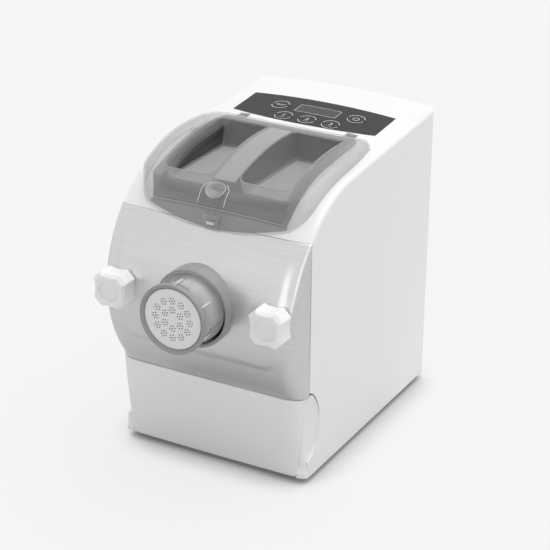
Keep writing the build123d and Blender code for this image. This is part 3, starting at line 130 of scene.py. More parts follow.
class Skin(Tree):
    # one material with a Principled shader, whose fixed values are set on its own sockets
    def __init__(self, name, **fixed):
        self.material = bpy.data.materials.new(name)
        self.material.use_nodes = True
        super().__init__(self.material.node_tree)
        self.shader = self.nodes["Principled BSDF"]
        for socket, value in fixed.items():
            self.shader.inputs[socket.replace("_", " ")].default_value = value

    def noise(self, scale, detail=2.0, stretch=(1, 1, 1), rough=0.5):
        # noise on the object's own coordinates, which every piece shares because it sits at the origin
        here = self.add("ShaderNodeTexCoord", out="Object")
        place = self.add("ShaderNodeMapping", None, {"Vector": here, "Scale": stretch})
        values = {"Vector": place, "Scale": scale, "Detail": detail, "Roughness": rough}
        return self.add("ShaderNodeTexNoise", None, values)

    def blend(self, share, first, second):
        # sockets 6 and 7 are the two colours of a Mix node
        return self.add("ShaderNodeMix", {"data_type": "RGBA"},
                        {"Factor": share, 6: (*first, 1.0), 7: (*second, 1.0)}, out=2)

    def feed(self, socket, wire):
        self.links.new(wire.socket, self.shader.inputs[socket])

    def bump(self, height, distance):
        self.feed("Normal", self.add("ShaderNodeBump", None, {"Height": height, "Distance": distance}))


plasticLook = {"cloudScale": 9.0, "cloudDetail": 3.0, "glossSpread": 0.1}
metalLook = {"lineRoughness": 0.6, "cloudScale": 6.0, "lineShare": 0.75, "glossSpread": 0.1}
clearLook = {"flowScale": 14.0, "glance": 0.35, "tintSpread": 0.03, "alphaSpread": 0.03, "glossSpread": 0.04,
             "rippleScale": 60.0, "rippleDepth": 0.00005}


def shade(colour, factor):
    # the colour times a factor, held to 1
    return tuple(min(1.0, v * factor) for v in colour)


def mouldedPlastic(name, colour, rough, grain=1800.0, depth=0.00002, cloud=0.02, coat=0.0, **fixed):
    # a slow cloud in colour and gloss, and the fine texture of a moulding tool
    look = plasticLook
    skin = Skin(name, Coat_Weight=coat, **fixed)
    drift = skin.noise(look["cloudScale"], look["cloudDetail"])
    skin.feed("Base Color", skin.blend(drift, shade(colour, 1 - cloud), shade(colour, 1 + cloud)))
    skin.feed("Roughness", drift * look["glossSpread"] + (rough - look["glossSpread"] / 2))
    skin.bump(skin.noise(grain, 1.0), depth)
    return skin.material


def brushedMetal(name, colour, rough, stretch, spread=0.1, depth=0.00001, metallic=1.0):
    # long scratches: noise that is stretched along the brushing direction, and a slow cloud
    look = metalLook
    skin = Skin(name, Metallic=metallic)
    line = skin.noise(1.0, 3.0, stretch, look["lineRoughness"])
    mark = line * look["lineShare"] + skin.noise(look["cloudScale"]) * (1 - look["lineShare"])
    skin.feed("Base Color", skin.blend(mark, shade(colour, 1 - spread), shade(colour, 1 + spread)))
    skin.feed("Roughness", line * look["glossSpread"] + (rough - look["glossSpread"] / 2))
    skin.bump(line, depth)
    return skin.material


def clearPlastic(name, colour, alpha, edge, rough=0.06):
    # clear sheet: alpha face-on, alpha + edge at a glancing angle, with faint flow marks
    look = clearLook
    skin = Skin(name, IOR=1.49, Specular_IOR_Level=0.5)
    drift = skin.noise(look["flowScale"])
    facing = skin.add("ShaderNodeLayerWeight", None, {"Blend": look["glance"]}, out="Facing")
    tint = look["tintSpread"]
    skin.feed("Base Color", skin.blend(drift, shade(colour, 1 - tint), shade(colour, 1 + tint)))
    skin.feed("Alpha", facing * edge + alpha + drift * look["alphaSpread"])
    skin.feed("Roughness", drift * look["glossSpread"] + rough)
    skin.bump(skin.noise(look["rippleScale"], 1.0), look["rippleDepth"])
    return skin.material


# moulded plastic: colour, roughness, scale and depth of the grain, cloud and coat
# brushed metal: colour, roughness, stretch, spread of the colour and depth of the scratches
# clear plastic: colour, alpha, what a glancing view adds to it, and roughness
finishes = {
    "casing_white": mouldedPlastic("casingWhite", (0.86, 0.865, 0.87), 0.32, 2600.0, 0.000012, 0.008, 0.25),
    "drawer_white": mouldedPlastic("drawerWhite", (0.84, 0.85, 0.85), 0.38, 2600.0, 0.000014, 0.01, 0.1),
    "panel_steel": brushedMetal("panelSteel", (0.66, 0.665, 0.665), 0.3, (14, 40, 760), 0.13, 0.000002),
    "lid_clear": clearPlastic("lidClear", (0.47, 0.475, 0.48), 0.14, 0.32),
    "nut_clear": clearPlastic("nutClear", (0.5, 0.51, 0.515), 0.16, 0.4),
    "ring_grey": mouldedPlastic("ringGrey", (0.3, 0.305, 0.31), 0.4, 1500.0, 0.00002, 0.04),
    "die_white": mouldedPlastic("dieWhite", (0.78, 0.79, 0.785), 0.5, 1500.0, 0.00004, 0.015),
    "knob_white": mouldedPlastic("knobWhite", (0.86, 0.865, 0.865), 0.3, 2400.0, 0.000012, 0.01, 0.2),
    "plate_dark": mouldedPlastic("plateDark", (0.03, 0.031, 0.033), 0.5, 2400.0, 0.00001, 0.06,
                                 Specular_IOR_Level=0.2),
    "key_dark": mouldedPlastic("keyDark", (0.03, 0.031, 0.033), 0.5, 2000.0, 0.00001, 0.06,
                               Specular_IOR_Level=0.2),
    "display_dark": mouldedPlastic("displayDark", (0.03, 0.031, 0.034), 0.3, 900.0, 0.000004, 0.05, 0.1,
                                   Specular_IOR_Level=0.25),
    "tub_plastic": mouldedPlastic("tubPlastic", (0.075, 0.076, 0.08), 0.45, 900.0, 0.00002, 0.04),
    "auger_plastic": mouldedPlastic("augerPlastic", (0.22, 0.22, 0.22), 0.45, 900.0, 0.00004, 0.05),
    "frame_plastic": mouldedPlastic("framePlastic", (0.35, 0.35, 0.36), 0.55, 700.0, 0.00006, 0.04),
    "steel_plate": brushedMetal("steelPlate", (0.5, 0.5, 0.52), 0.4, (500, 500, 12), 0.12),
    "turned_steel": brushedMetal("turnedSteel", (0.6, 0.6, 0.62), 0.25, (900, 30, 900), 0.12),
    "bearing_bronze": brushedMetal("bearingBronze", (0.5, 0.35, 0.18), 0.4, (700, 700, 700), 0.15),
    "gear_plastic": mouldedPlastic("gearPlastic", (0.7, 0.67, 0.6), 0.5, 900.0, 0.00004, 0.05),
    "gear_steel": brushedMetal("gearSteel", (0.42, 0.42, 0.44), 0.3, (700, 40, 700)),
    "seal_rubber": mouldedPlastic("sealRubber", (0.2, 0.2, 0.205), 0.7, 500.0, 0.00008, 0.08),
    "foot_rubber": mouldedPlastic("footRubber", (0.45, 0.45, 0.45), 0.7, 500.0, 0.00008, 0.06),
    "board_green": mouldedPlastic("boardGreen", (0.03, 0.16, 0.07), 0.35, 400.0, 0.0001, 0.2, 0.3),
    "motor_steel": brushedMetal("motorSteel", (0.3, 0.31, 0.32), 0.42, (40, 900, 40), metallic=0.8),
    "stator_iron": brushedMetal("statorIron", (0.25, 0.25, 0.26), 0.6, (30, 1600, 30), 0.25, 0.0001),
    "inlet_black": mouldedPlastic("inletBlack", (0.025, 0.025, 0.027), 0.5, 700.0, 0.00005, 0.2),
}
# a pale clear finish that paints highlights on the edges, ribs and beads of clear mouldings
paintedHighlightFinish = clearPlastic("paintedHighlightClear", (0.85, 0.855, 0.86), 0.6, 0.2)
# a darker, less clear copy of the lid's plastic that paints the shade in the thumb dimple
shadedDimpleFinish = clearPlastic("paintedShadeDimple", (0.36, 0.365, 0.37), 0.88, 0.1, 0.16)
wellFinish = clearPlastic("wellClear", (0.52, 0.525, 0.53), 0.3, 0.1)
frostFinish = clearPlastic("frostClear", (0.5, 0.505, 0.51), 0.6, 0.1, 0.4)
skirtFinish = clearPlastic("skirtClear", (0.17, 0.174, 0.18), 0.36, 0.14)
# dark finish that paints the shade inside the die's holes
holeShadeFinish = mouldedPlastic("paintedHoleShade", (0.03, 0.03, 0.03), 0.8, 900.0, 0.00001, 0.1)
inkFinish = mouldedPlastic("printInk", (0.8, 0.81, 0.82), 0.6, 1200.0, 0.00001, 0.05)


def dress(node, material):
    node.data.materials.clear()
    node.data.materials.append(material)


slotOf = {part["node"]: part["material_slot"] for part in frame["record"]["subparts"]}
for name, node in nodes.items():
    dress(node, finishes[slotOf[name]])
print("materials:", len(finishes))


def mesh(name, points, faces, body, slotName, finish=None):
    # a smooth mesh from points in millimetres
    data = bpy.data.meshes.new(name)
    data.from_pydata((np.asarray(points, dtype=float) * 0.001).tolist(), [], faces)
    data.polygons.foreach_set("use_smooth", np.ones(len(data.polygons), dtype=bool))
    data.validate()
    data.update()
    piece = bpy.data.objects.new(name, data)
    scene.collection.objects.link(piece)
    data.materials.append(finish or finishes[slotName])
    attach(piece, body)
    return piece


def surface(name, points, body, slotName, closedV=False, closedU=False, keep=None, finish=None, caps=None,
            flip=False):
    # quads between neighbouring points of a grid (rows, columns, 3) in millimetres; keep picks the quads
    # that stay, caps closes the first and last rows, or only the last one, and flip turns every face round
    rows, columns = points.shape[:2]
    index = np.arange(rows * columns).reshape(rows, columns)
    loop = np.hstack((index, index[:, :1])) if closedV else index
    loop = np.vstack((loop, loop[:1])) if closedU else loop
    quads = np.stack((loop[:-1, :-1], loop[:-1, 1:], loop[1:, 1:], loop[1:, :-1]), axis=-1)
    quads = quads.reshape(-1, 4) if keep is None else quads[keep]
    faces = quads.tolist()
    if caps == "both":
        faces.append(index[0, ::-1].tolist())
    if caps:
        faces.append(index[-1].tolist())
    if flip:
        faces = [face[::-1] for face in faces]
    return mesh(name, points.reshape(-1, 3), faces, body, slotName, finish)


def rim(keep, closedV=False):
    # points of a grid that lie between quads that stay and quads that go
    marks = []
    for mask in (keep, ~keep):
        if closedV:
            wide = mask | np.roll(mask, 1, axis=1)
        else:
            wide = np.pad(mask, ((0, 0), (0, 1))) | np.pad(mask, ((0, 0), (1, 0)))
        marks.append(np.pad(wide, ((0, 1), (0, 0))) | np.pad(wide, ((1, 0), (0, 0))))
    return marks[0] & marks[1]


def wall(piece, thickness):
    # gives a sheet its thickness on the inner side
    solid = piece.modifiers.new("wall", "SOLIDIFY")
    solid.thickness = thickness * 0.001
    solid.offset = -1


# shapes that several pieces share, in millimetres: the deck slopes and is crowned across, and the front
# has its nose at the foot of the upper arc and its chin at the drawer
casing = {
    "width": 225.0, "depth": 380.0, "height": 340.0,
    "deckSlope": 0.07, "deckCrown": 6.0,
    "noseY": -142.9, "noseZ": 181.5, "chinY": -118.0, "chinZ": 104.0, "sideFrontY": -102.2, "sideGap": 0.6,
}
halfWidth = casing["width"] / 2
halfDepth = casing["depth"] / 2
axisZ = 203.0
knobX = 92.5
sideName = {-1: "left", 1: "right"}


def smooth(value, low, high):
    # 0 below low, 1 above high, and the cubic 3t2 - 2t3 between
    t = np.clip((value - low) / (high - low), 0, 1)
    return t * t * (3 - 2 * t)


def arcThrough(a, b, c, count):
    # points on the circle through a, b and c, from a to c by way of b
    (ax, ay), (bx, by), (cx, cy) = a, b, c
    area = 2 * (ax * (by - cy) + bx * (cy - ay) + cx * (ay - by))
    ux = ((ax**2 + ay**2) * (by - cy) + (bx**2 + by**2) * (cy - ay) + (cx**2 + cy**2) * (ay - by)) / area
    uy = ((ax**2 + ay**2) * (cx - bx) + (bx**2 + by**2) * (ax - cx) + (cx**2 + cy**2) * (bx - ax)) / area
    start, middle, end = (np.arctan2(p[1] - uy, p[0] - ux) for p in (a, b, c))
    sweep = (end - start) % tau
    if (middle - start) % tau > sweep:
        sweep -= tau
    angle = start + sweep * np.linspace(0, 1, count)
    radius = np.hypot(ax - ux, ay - uy)
    return np.stack((ux + radius * np.cos(angle), uy + radius * np.sin(angle)), axis=1)


def arcAt(middle, radius, first, last, count=40):
    # points on a circle about its middle, from one angle to another in degrees
    angle = np.radians(np.linspace(first, last, count))
    return np.stack((middle[0] + radius * np.cos(angle), middle[1] + radius * np.sin(angle)), axis=1)


def unitCircle(count):
    # points of a full circle of radius 1, without the repeated end
    angle = np.linspace(0, tau, count, endpoint=False)
    return np.stack((np.cos(angle), np.sin(angle)), axis=1)


def evenly(path, count, closed=False):
    # the same path with its points at equal distances
    if closed:
        path = np.vstack((path, path[:1]))
    run = np.concatenate(([0], np.cumsum(np.hypot(*np.diff(path, axis=0).T))))
    at = np.linspace(0, run[-1], count, endpoint=not closed)
    return np.stack([np.interp(at, run, path[:, i]) for i in range(path.shape[1])], axis=1)


def roundedRectangle(halfX, halfY, frontRadius, rearRadius, count):
    # corner arcs joined by straight sides, counted round from the front right
    arcs = []
    for sx, sy, radius, first in ((1, -1, frontRadius, -90), (1, 1, rearRadius, 0),
                                  (-1, 1, rearRadius, 90), (-1, -1, frontRadius, 180)):
        arcs.append(arcAt((sx * (halfX - radius), sy * (halfY - radius)), radius, first, first + 90, 14))
    return evenly(np.vstack(arcs), count, closed=True)


def boxDistance(qx, qy, radius):
    # distance outside a rounded box, negative inside; qx and qy start at the middles of its corner arcs
    return np.hypot(np.maximum(qx, 0), np.maximum(qy, 0)) + np.minimum(np.maximum(qx, qy), 0) - radius


def shrink(ring, middle, share):
    # the ring drawn towards a middle, to a share of its size
    return middle + (ring - middle) * share


def upright(at, y, middleX=0.0, middleZ=axisZ):
    # a drawing in x and z stood up at depth y about a middle
    return np.column_stack((middleX + at[:, 0], np.full(len(at), y), middleZ + at[:, 1]))


def frontRadiusAt(drop):
    # radius of the arc that touches the deck line and the upright at the nose
    slope = np.arctan(casing["deckSlope"])
    rise = casing["height"] - drop - casing["deckSlope"] * (halfDepth - casing["noseY"]) - casing["noseZ"]
    return rise * np.cos(slope) / (1 - np.sin(slope))


def faceY(z, drop=0.0):
    # front of the casing: one arc above the nose and one below it
    setBack = casing["chinY"] - casing["noseY"]
    chinRadius = ((casing["noseZ"] - casing["chinZ"]) ** 2 + setBack**2) / (2 * setBack)
    radius = np.where(z >= casing["noseZ"], frontRadiusAt(drop), chinRadius)
    return casing["noseY"] + radius - np.sqrt(radius**2 - (z - casing["noseZ"]) ** 2)


def casingTop(x, y):
    # height of the casing: the sloping deck, then the front arc
    drop = casing["deckCrown"] * (x / halfWidth) ** 2
    deck = casing["height"] - drop - casing["deckSlope"] * (halfDepth - y)
    radius = frontRadiusAt(drop)
    middle = casing["noseY"] + radius
    arc = casing["noseZ"] + np.sqrt(np.clip(radius**2 - (y - middle) ** 2, 0, None))
    return np.where(y > middle - radius * np.sin(np.arctan(casing["deckSlope"])), deck, arc)


def onCasing(at, lift):
    # points of a plan drawing, lifted a little above the casing
    return np.column_stack((at, casingTop(at[:, 0], at[:, 1]) + lift))


# across the panel, the flat stretch and the corner end at shares of its half width; the corners' radius
# falls from the lower edge to the upper one
panel = {
    "lowZ": 104.6, "highZ": 277.8, "thickness": 0.9, "flatEnd": 0.7, "cornerEnd": 0.92, "leastBow": 0.3,
    "lowCorner": 24.0, "highCorner": 2.6, "cornerPower": 2.3, "cornerOver": 10.0,
    "holeRadius": 41.2, "holeZ": 199.5,
    "bandX": 100.0, "bandZ": 144.0, "bandCorner": 26.0,
    "bandDepth": 0.3, "bandBlend": (-6.0, 7.0), "bandTop": 240.0, "bandFade": 60.0,
    "swell": 1.5, "swellBlend": (-3.0, 6.0), "swellTop": 270.0, "swellFade": 40.0,
    "padHeight": 3.4, "padRadius": 31.0, "padEdgeX": 111.0,
}


def planFront(u, frontLine, bow, corner, room):
    # plan of a bowed front with quarter-ellipse corners and short flanks; u runs -1..1 across it
    flatEnd, cornerEnd = panel["flatEnd"], panel["cornerEnd"]
    a = np.abs(u)
    flat = np.minimum(a / flatEnd, 1)
    turn = np.clip((a - flatEnd) / (cornerEnd - flatEnd), 0, 1) * pi / 2
    back = np.clip((a - cornerEnd) / (1 - cornerEnd), 0, 1)
    depth = np.minimum(corner, room)
    x = (halfWidth - corner) * flat + corner * np.sin(turn)
    y = frontLine + bow * flat**2 + depth * (1 - np.cos(turn))
    flank = frontLine + bow + depth
    y = np.where(a > cornerEnd, flank + (casing["sideFrontY"] - flank) * back, y)
    return np.sign(u) * x, y


def makePanel(p):
    # the casing's face carried from the lower edge to the upper one, with a set-back lower band whose
    # corners are round, and a low pad round each knob: height (1 + cos(pi r / R)) / 2
    z, u = np.meshgrid(np.linspace(p["lowZ"], p["highZ"], 150), np.linspace(-1, 1, 260), indexing="ij")
    front = faceY(z)
    drop = np.where(z > casing["noseZ"], casing["deckCrown"], 0.0)
    bow = np.maximum(faceY(z, drop) - front, p["leastBow"])
    far = p["highZ"] + p["cornerOver"]
    share = (far - z) / (far - p["lowZ"])
    corner = p["highCorner"] + (p["lowCorner"] - p["highCorner"]) * share ** p["cornerPower"]
    x, y = planFront(u, front, bow, corner, casing["sideFrontY"] - front - bow - casing["sideGap"])
    # the barrel's hole: the points on its edge move onto the circle
    r = np.hypot(x, z - p["holeZ"])
    keep = (r[:-1, :-1] + r[1:, 1:] + r[:-1, 1:] + r[1:, :-1]) / 4 > p["holeRadius"]
    pull = np.where(rim(keep), p["holeRadius"] / np.maximum(r, 1), 1)
    x, z = x * pull, p["holeZ"] + (z - p["holeZ"]) * pull
    y = y + faceY(z) - front
    qx = np.abs(x) - (p["bandX"] - p["bandCorner"])
    qz = p["bandZ"] + p["bandCorner"] - z
    outside = boxDistance(qx, qz, p["bandCorner"])
    y = y + p["bandDepth"] * smooth(outside, *p["bandBlend"]) * smooth(p["bandTop"] - z, 0, p["bandFade"])
    y = y - p["swell"] * smooth(-outside, *p["swellBlend"]) * smooth(p["swellTop"] - z, 0, p["swellFade"])
    knobShare = np.minimum(np.hypot(np.abs(x) - knobX, z - axisZ) / p["padRadius"], 1)
    y = y - p["padHeight"] * (1 + np.cos(pi * knobShare)) / 2 * (np.abs(x) < p["padEdgeX"])
    piece = surface("frontSteel", np.stack((x, y, z), axis=-1), "casing", "panel_steel", keep=keep)
    wall(piece, p["thickness"])
    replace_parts(piece, "front_panel")


makePanel(panel)
print("front panel")


# the lower edge rises towards the sides; the finger dish is an ellipse in the casing's corner, behind
# the drawer's edge, which is drawn in and pushed back beside it
drawer = {
    "lowZ": 8.0, "highZ": 104.1, "lowY": -109.5, "highY": -118.9, "bow": 0.3, "corner": 24.0,
    "thickness": 2.4, "round": 2.2, "lip": 3.4, "flatInset": 2.0, "sideRound": 0.985,
    "edgeLowX": 101.5, "edgeHighX": 110.6, "rise": 0.48, "riseReach": 40.0,
    "cornerLowZ": 8.2, "cornerHighZ": 104.5, "cornerWall": 1.0, "arcEnd": 0.4, "flankPower": 0.8,
    "dishY": -108.0, "dishZ": 61.0, "dishReach": 30.0, "dishHeight": 47.0, "dishDepth": 6.0, "dishPower": 0.7,
    "gap": 0.3, "tuck": 3.0, "tuckFade": 0.3, "push": 3.4, "pushDish": 2.5, "pushEnd": 0.5,
}


def drawerShare(z):
    # 0 at the drawer's lower edge, 1 at its upper one
    return (z - drawer["lowZ"]) / (drawer["highZ"] - drawer["lowZ"])


def lowFront(x, z):
    # front of the drawer and of the casing's corner: a leaning face that ends in elliptic corners
    front = drawer["lowY"] + (drawer["highY"] - drawer["lowY"]) * drawerShare(z)
    start = halfWidth - drawer["corner"]
    depth = np.minimum(drawer["corner"], casing["sideFrontY"] - front - casing["sideGap"])
    turn = np.clip((np.abs(x) - start) / drawer["corner"], 0, 1)
    return front + drawer["bow"] * np.minimum(np.abs(x) / start, 1) ** 2 + depth * (1 - np.sqrt(1 - turn**2))


def drawerEdge(z):
    # half width of the drawer's front, which grows towards its top
    return drawer["edgeLowX"] + (drawer["edgeHighX"] - drawer["edgeLowX"]) * drawerShare(z)


def makeDrawerFront(d):
    # a leaning front swept up a profile whose lower and upper ends roll inwards on a quarter circle
    roll = np.linspace(0, pi / 2, 7)
    early, late = d["round"] * (1 - np.cos(roll)), d["round"] * (1 - np.sin(roll))
    low = np.stack((d["lowZ"] + early, late), axis=1)
    high = np.stack((d["highZ"] - late, early), axis=1)
    inset = d["round"] + d["flatInset"]
    middle = np.linspace(d["lowZ"] + inset, d["highZ"] - inset, 24)
    flat = np.stack((middle, np.zeros_like(middle)), axis=1)
    profile = np.vstack(([[d["lowZ"], d["lip"]]], low, flat, high, [[d["highZ"], d["lip"]]]))
    z, u = np.meshgrid(profile[:, 0], np.sin(np.linspace(-pi / 2, pi / 2, 150)), indexing="ij")
    sideInset = d["round"] * (1 - np.sqrt(1 - smooth(np.abs(u), d["sideRound"], 1.0) ** 2))
    x = drawerEdge(z) * u
    y = lowFront(x, z) + (profile[:, 1][:, None] + sideInset)
    z = z + d["rise"] * (1 - (z - d["lowZ"]) / d["riseReach"]).clip(0, 1) * (1 + u**2)
    piece = surface("drawerFace", np.stack((x, y, z), axis=-1), "drawer", "drawer_white")
    wall(piece, d["thickness"])
    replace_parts(piece, "drawer_front")


def makeCorner(d, side):
    # from the drawer's edge round to the side wall, with the finger dish pressed in:
    # depth (1 - e2) ^ power, where e2 is the squared distance in half sizes of the dish's ellipse
    heights = np.linspace(d["cornerLowZ"], d["cornerHighZ"], 110)
    z, t = np.meshgrid(heights, np.linspace(0, 1, 70), indexing="ij")
    level = np.clip(1 - ((z - d["dishZ"]) / d["dishHeight"]) ** 2, 0, 1)
    rear = np.maximum(d["dishY"] + d["dishReach"] * np.sqrt(level), casing["sideFrontY"] + 0.1)
    start = drawerEdge(z) - d["tuck"] * np.minimum(level / d["tuckFade"], 1) + d["gap"]
    x = start + (halfWidth - start) * np.sin(np.minimum(t / d["arcEnd"], 1) * pi / 2)
    y = lowFront(np.minimum(x, halfWidth - 0.01), z)
    y = y + (rear - y) * np.clip((t - d["arcEnd"]) / (1 - d["arcEnd"]), 0, 1) ** d["flankPower"]
    e2 = ((y - d["dishY"]) / d["dishReach"]) ** 2 + ((z - d["dishZ"]) / d["dishHeight"]) ** 2
    dish = d["dishDepth"] * np.clip(1 - e2, 0, 1) ** d["dishPower"]
    x = np.where(t < 1, x - dish, x)
    y = y + d["push"] * np.minimum(dish / d["pushDish"], 1) * np.clip(1 - t / d["pushEnd"], 0, 1)
    grid = np.stack((side * x, y, z), axis=-1)[:, ::side]
    wall(surface(sideName[side] + "Corner", grid, "casing", "casing_white"), d["cornerWall"])


for side in (-1, 1):
    makeCorner(drawer, side)
makeDrawerFront(drawer)
print("drawer front")


# bevel: depth behind the face and inset from the outline, from the rear to the face; between: share of
# the outline and radius whose sum is one ring; bowl: depth behind the face and radius past the dish's
knob = {
    "half": 19.95, "flat": 11.2, "hollow": 1.6, "dish": 12.4, "faceY": -165.0, "between": (0.3822, 6.64734),
    "bevel": [(21.7, 12.0), (21.7, 1.0), (21.5, 0.4), (21.1, 0.1), (20.0, 0.0), (12.0, 0.0), (3.9, 0.0),
              (3.6, 0.08), (3.3, 0.3), (0.6, 2.5), (0.3, 2.85), (0.1, 3.3), (0.0, 3.9)],
    "bowl": [(0.0, 0.5), (0.05, 0.2), (0.3, 0.02), (1.7, -0.3), (2.3, -0.6), (2.5, -1.2), (2.4, -6.0),
             (2.3, -10.0), (2.25, -12.2)],
}


def knobOutline(k, count):
    # eight-sided: four long sides hollowed by h (1 - t2) and four short straight ones between them
    t = np.linspace(-1, 1, 40)
    longSide = np.stack((k["half"] - k["hollow"] * (1 - t**2), k["flat"] * t), axis=1)
    turns = [np.array(((cos(a), sin(a)), (-sin(a), cos(a)))) for a in (0, pi / 2, pi, 3 * pi / 2)]
    path = evenly(np.vstack([longSide @ turn for turn in turns]), count, closed=True)
    for _ in range(2):
        path = path / 2 + (np.roll(path, 1, axis=0) + np.roll(path, -1, axis=0)) / 4
    return path


def makeKnob(k, side):
    # the outline shrinks over a sharp bevel to the face, then rings turn round into the dish
    outline = knobOutline(k, 260)
    circle = outline / np.linalg.norm(outline, axis=1)[:, None]
    share, radius = k["between"]
    rows = [(y, outline * (1 - inset / k["half"])) for y, inset in k["bevel"]]
    rows += [(0.0, outline * share + circle * radius)]
    rows += [(y, circle * (k["dish"] + more)) for y, more in k["bowl"]]
    grid = np.array([upright(at, y + k["faceY"], side * knobX) for y, at in rows])
    name = sideName[side]
    piece = surface(name + "KnobCap", grid, name + "_knob", "knob_white", closedV=True, caps="both")
    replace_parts(piece, name + "_lock_knob")


for side in (-1, 1):
    makeKnob(knob, side)
print("knobs")


# dark discs just proud of the die's face, painted shade that stands in for the depth of its holes: groups of
# seven on two circles
die = {"faceY": -188.04, "outer": 20.3, "inner": 10.4, "pitch": 3.1, "hole": 0.78}


def makeDieHoleShade(d):
    # eighteen groups of seven small discs: one in the middle of each group and six round it
    groups = np.vstack((d["outer"] * unitCircle(12), d["inner"] * arcAt((0, 0), 1, 30, 330, 6)))
    spots = np.vstack(([(0, 0)], arcAt((0, 0), d["pitch"], 15, 315, 6)))
    centres = (groups[:, None] + spots[None]).reshape(-1, 2)
    ring = d["hole"] * unitCircle(10)
    at = (centres[:, None] + ring[None]).reshape(-1, 2)
    faces = np.arange(len(at)).reshape(-1, len(ring)).tolist()
    mesh("dieHoleShade", upright(at, d["faceY"]), faces, "casing", "die_white", holeShadeFinish)


def lathe(name, profile, z, body, slotName):
    # a closed profile of radius and depth turned about a line that runs front to back
    circle = unitCircle(180)
    rows = np.array([upright(circle * r, y, 0.0, z) for r, y in profile])
    return surface(name, rows[:, ::-1], body, slotName, closedV=True, closedU=True)


# profiles are radius and y, round the closed outline
nut = {
    "rim": [(35.0, -184.6), (33.3, -184.7), (33.4, -186.9), (33.9, -187.4), (35.9, -189.7), (36.6, -190.0),
            (37.4, -190.0), (38.1, -189.5), (38.4, -188.6), (38.4, -185.4), (37.9, -184.6)],
    "tube": [(34.8, -184.4), (35.9, -184.4), (35.9, -168.0), (36.5, -167.4), (36.5, -162.6), (37.2, -162.0),
             (37.2, -157.4), (38.6, -156.6), (38.6, -149.2), (34.8, -149.2)],
    "ribSection": [(-1.1, 35.9), (-0.8, 37.1), (0.8, 37.1), (1.1, 35.9)], "ribEnds": (-166.5, -183.5),
}
collar = [(39.4, -128.0), (39.4, -150.6), (39.8, -151.3), (40.4, -151.6), (42.3, -151.6), (42.9, -151.3),
          (43.2, -150.6), (43.2, -129.0), (42.0, -128.0)]


def makeNutRim(n):
    # the dark rim, whose cone runs in to the die
    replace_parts(lathe("nutRim", n["rim"], axisZ, "nut", "ring_grey"), "die_nut_ring")


def makeNutBody(n):
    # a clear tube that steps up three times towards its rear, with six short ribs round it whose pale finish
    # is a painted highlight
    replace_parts(lathe("nutTube", n["tube"], axisZ, "nut", "nut_clear"), "die_nut")
    section = np.array(n["ribSection"])
    for index in range(6):
        turn = radians(30 + 60 * index)
        out = np.array((cos(turn), sin(turn)))
        across = np.array((-sin(turn), cos(turn)))
        at = section[:, :1] * across + section[:, 1:] * out
        rows = np.array([upright(at, y) for y in n["ribEnds"]])
        name = "nutRib" + str(index + 1)
        surface(name, rows, "nut", "nut_clear", closedV=True, finish=paintedHighlightFinish, caps="both")


def makeCollar(profile, z):
    # the ring that closes the gap between the panel's hole and the nut
    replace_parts(lathe("collarRing", profile, z, "casing", "ring_grey"), "barrel_collar")


makeDieHoleShade(die)
makeNutRim(nut)
makeCollar(collar, panel["holeZ"])
makeNutBody(nut)
print("die")


# well rings: inset from the well's outline, drop below the top, and share of the way to the floor
lid = {
    "crestY": 10.0, "crestZ": 338.0, "radius": 273.6, "halfWidth": 103.0, "rearY": 66.0, "frontY": -112.8,
    "shoulderY": -99.0, "browYZ": (-108.3, 308.4), "chinYZ": (-113.4, 297.0), "middleY": -22.0,
    "thickness": 2.0, "edgeRound": 6.0, "lowZ": 274.0, "lift": 0.4,
    "creaseLow": 284.0, "creaseRise": 6.0, "creaseDepth": 1.1, "creaseHalf": 80.0, "creaseX": 84.0,
    "creaseY": -98.0,
    "wellInner": 14.5, "wellOuter": 76.0, "wellFront": -85.0, "wellRear": 39.0, "wellFloor": 305.5,
    "wellFrontRound": 12.0, "wellRearRound": 4.0, "wellLowest": 300.0, "wellThickness": 1.6,
    "wellRings": [(-0.6, 1.6, 0), (-0.1, 0.4, 0), (0.0, 0.1, 0), (0.3, 0.15, 0), (0.6, 0.7, 0), (0.8, 2.0, 0),
                  (1.2, 0, 0.3), (2.2, 0, 0.6), (3.2, 0, 0.85), (3.9, 0, 0.95), (5.2, 0, 0.99), (7.5, 0, 1)],
    "frostInset": 8.0, "frostLift": 0.4, "dividerDrop": 2.6, "dividerThickness": 1.0,
}


def lidTop(y):
    # the long arc of the top, then the tighter arc of the shoulder
    low, crest, reach = lid["crestZ"] - lid["radius"], lid["crestY"], lid["radius"]
    top = low + np.sqrt(reach**2 - (y - crest) ** 2)
    shoulder = low + np.sqrt(reach**2 - (lid["shoulderY"] - crest) ** 2)
    path = arcThrough((lid["shoulderY"], shoulder), lid["browYZ"], lid["chinYZ"], 60)[::-1]
    return np.where(y > lid["shoulderY"], top, np.interp(y, path[:, 0], path[:, 1]))


def onLid(at, lift):
    # points of a plan drawing, lifted above the lid's top
    return np.column_stack((at, lidTop(at[:, 1]) + lift))


def lidPlan(count):
    # plan outline of the lid from three-point arcs, counted round from the rear left
    w = lid["halfWidth"]
    right = [
        arcThrough((w - 23, lid["rearY"]), (w - 9, 60), (w - 4, 46), 30),
        arcThrough((w - 4, 46), (w, -20), (w - 3, -72), 60),
        arcThrough((w - 3, -72), (w - 9, -91), (w - 24, -102.5), 30),
    ]
    front = arcThrough((w - 24, -102.5), (0, lid["frontY"]), (24 - w, -102.5), 120)
    left = [part[::-1] * (-1, 1) for part in right[::-1]]
    return evenly(np.vstack(right + [front] + left), count, closed=True)


def wellSize():
    # half sizes of a well in x and y, and the middle of the right one
    low = np.array((lid["wellInner"], lid["wellFront"]))
    high = np.array((lid["wellOuter"], lid["wellRear"]))
    return (high - low) / 2, (low + high) / 2


def wellDistance(x, y):
    # distance outside the outline of the nearer well, negative inside it
    half, middle = wellSize()
    px, py = np.abs(x) - middle[0], y - middle[1]
    radius = np.where(py < 0, lid["wellFrontRound"], lid["wellRearRound"])
    return boxDistance(np.abs(px) - half[0] + radius, np.abs(py) - half[1] + radius, radius)


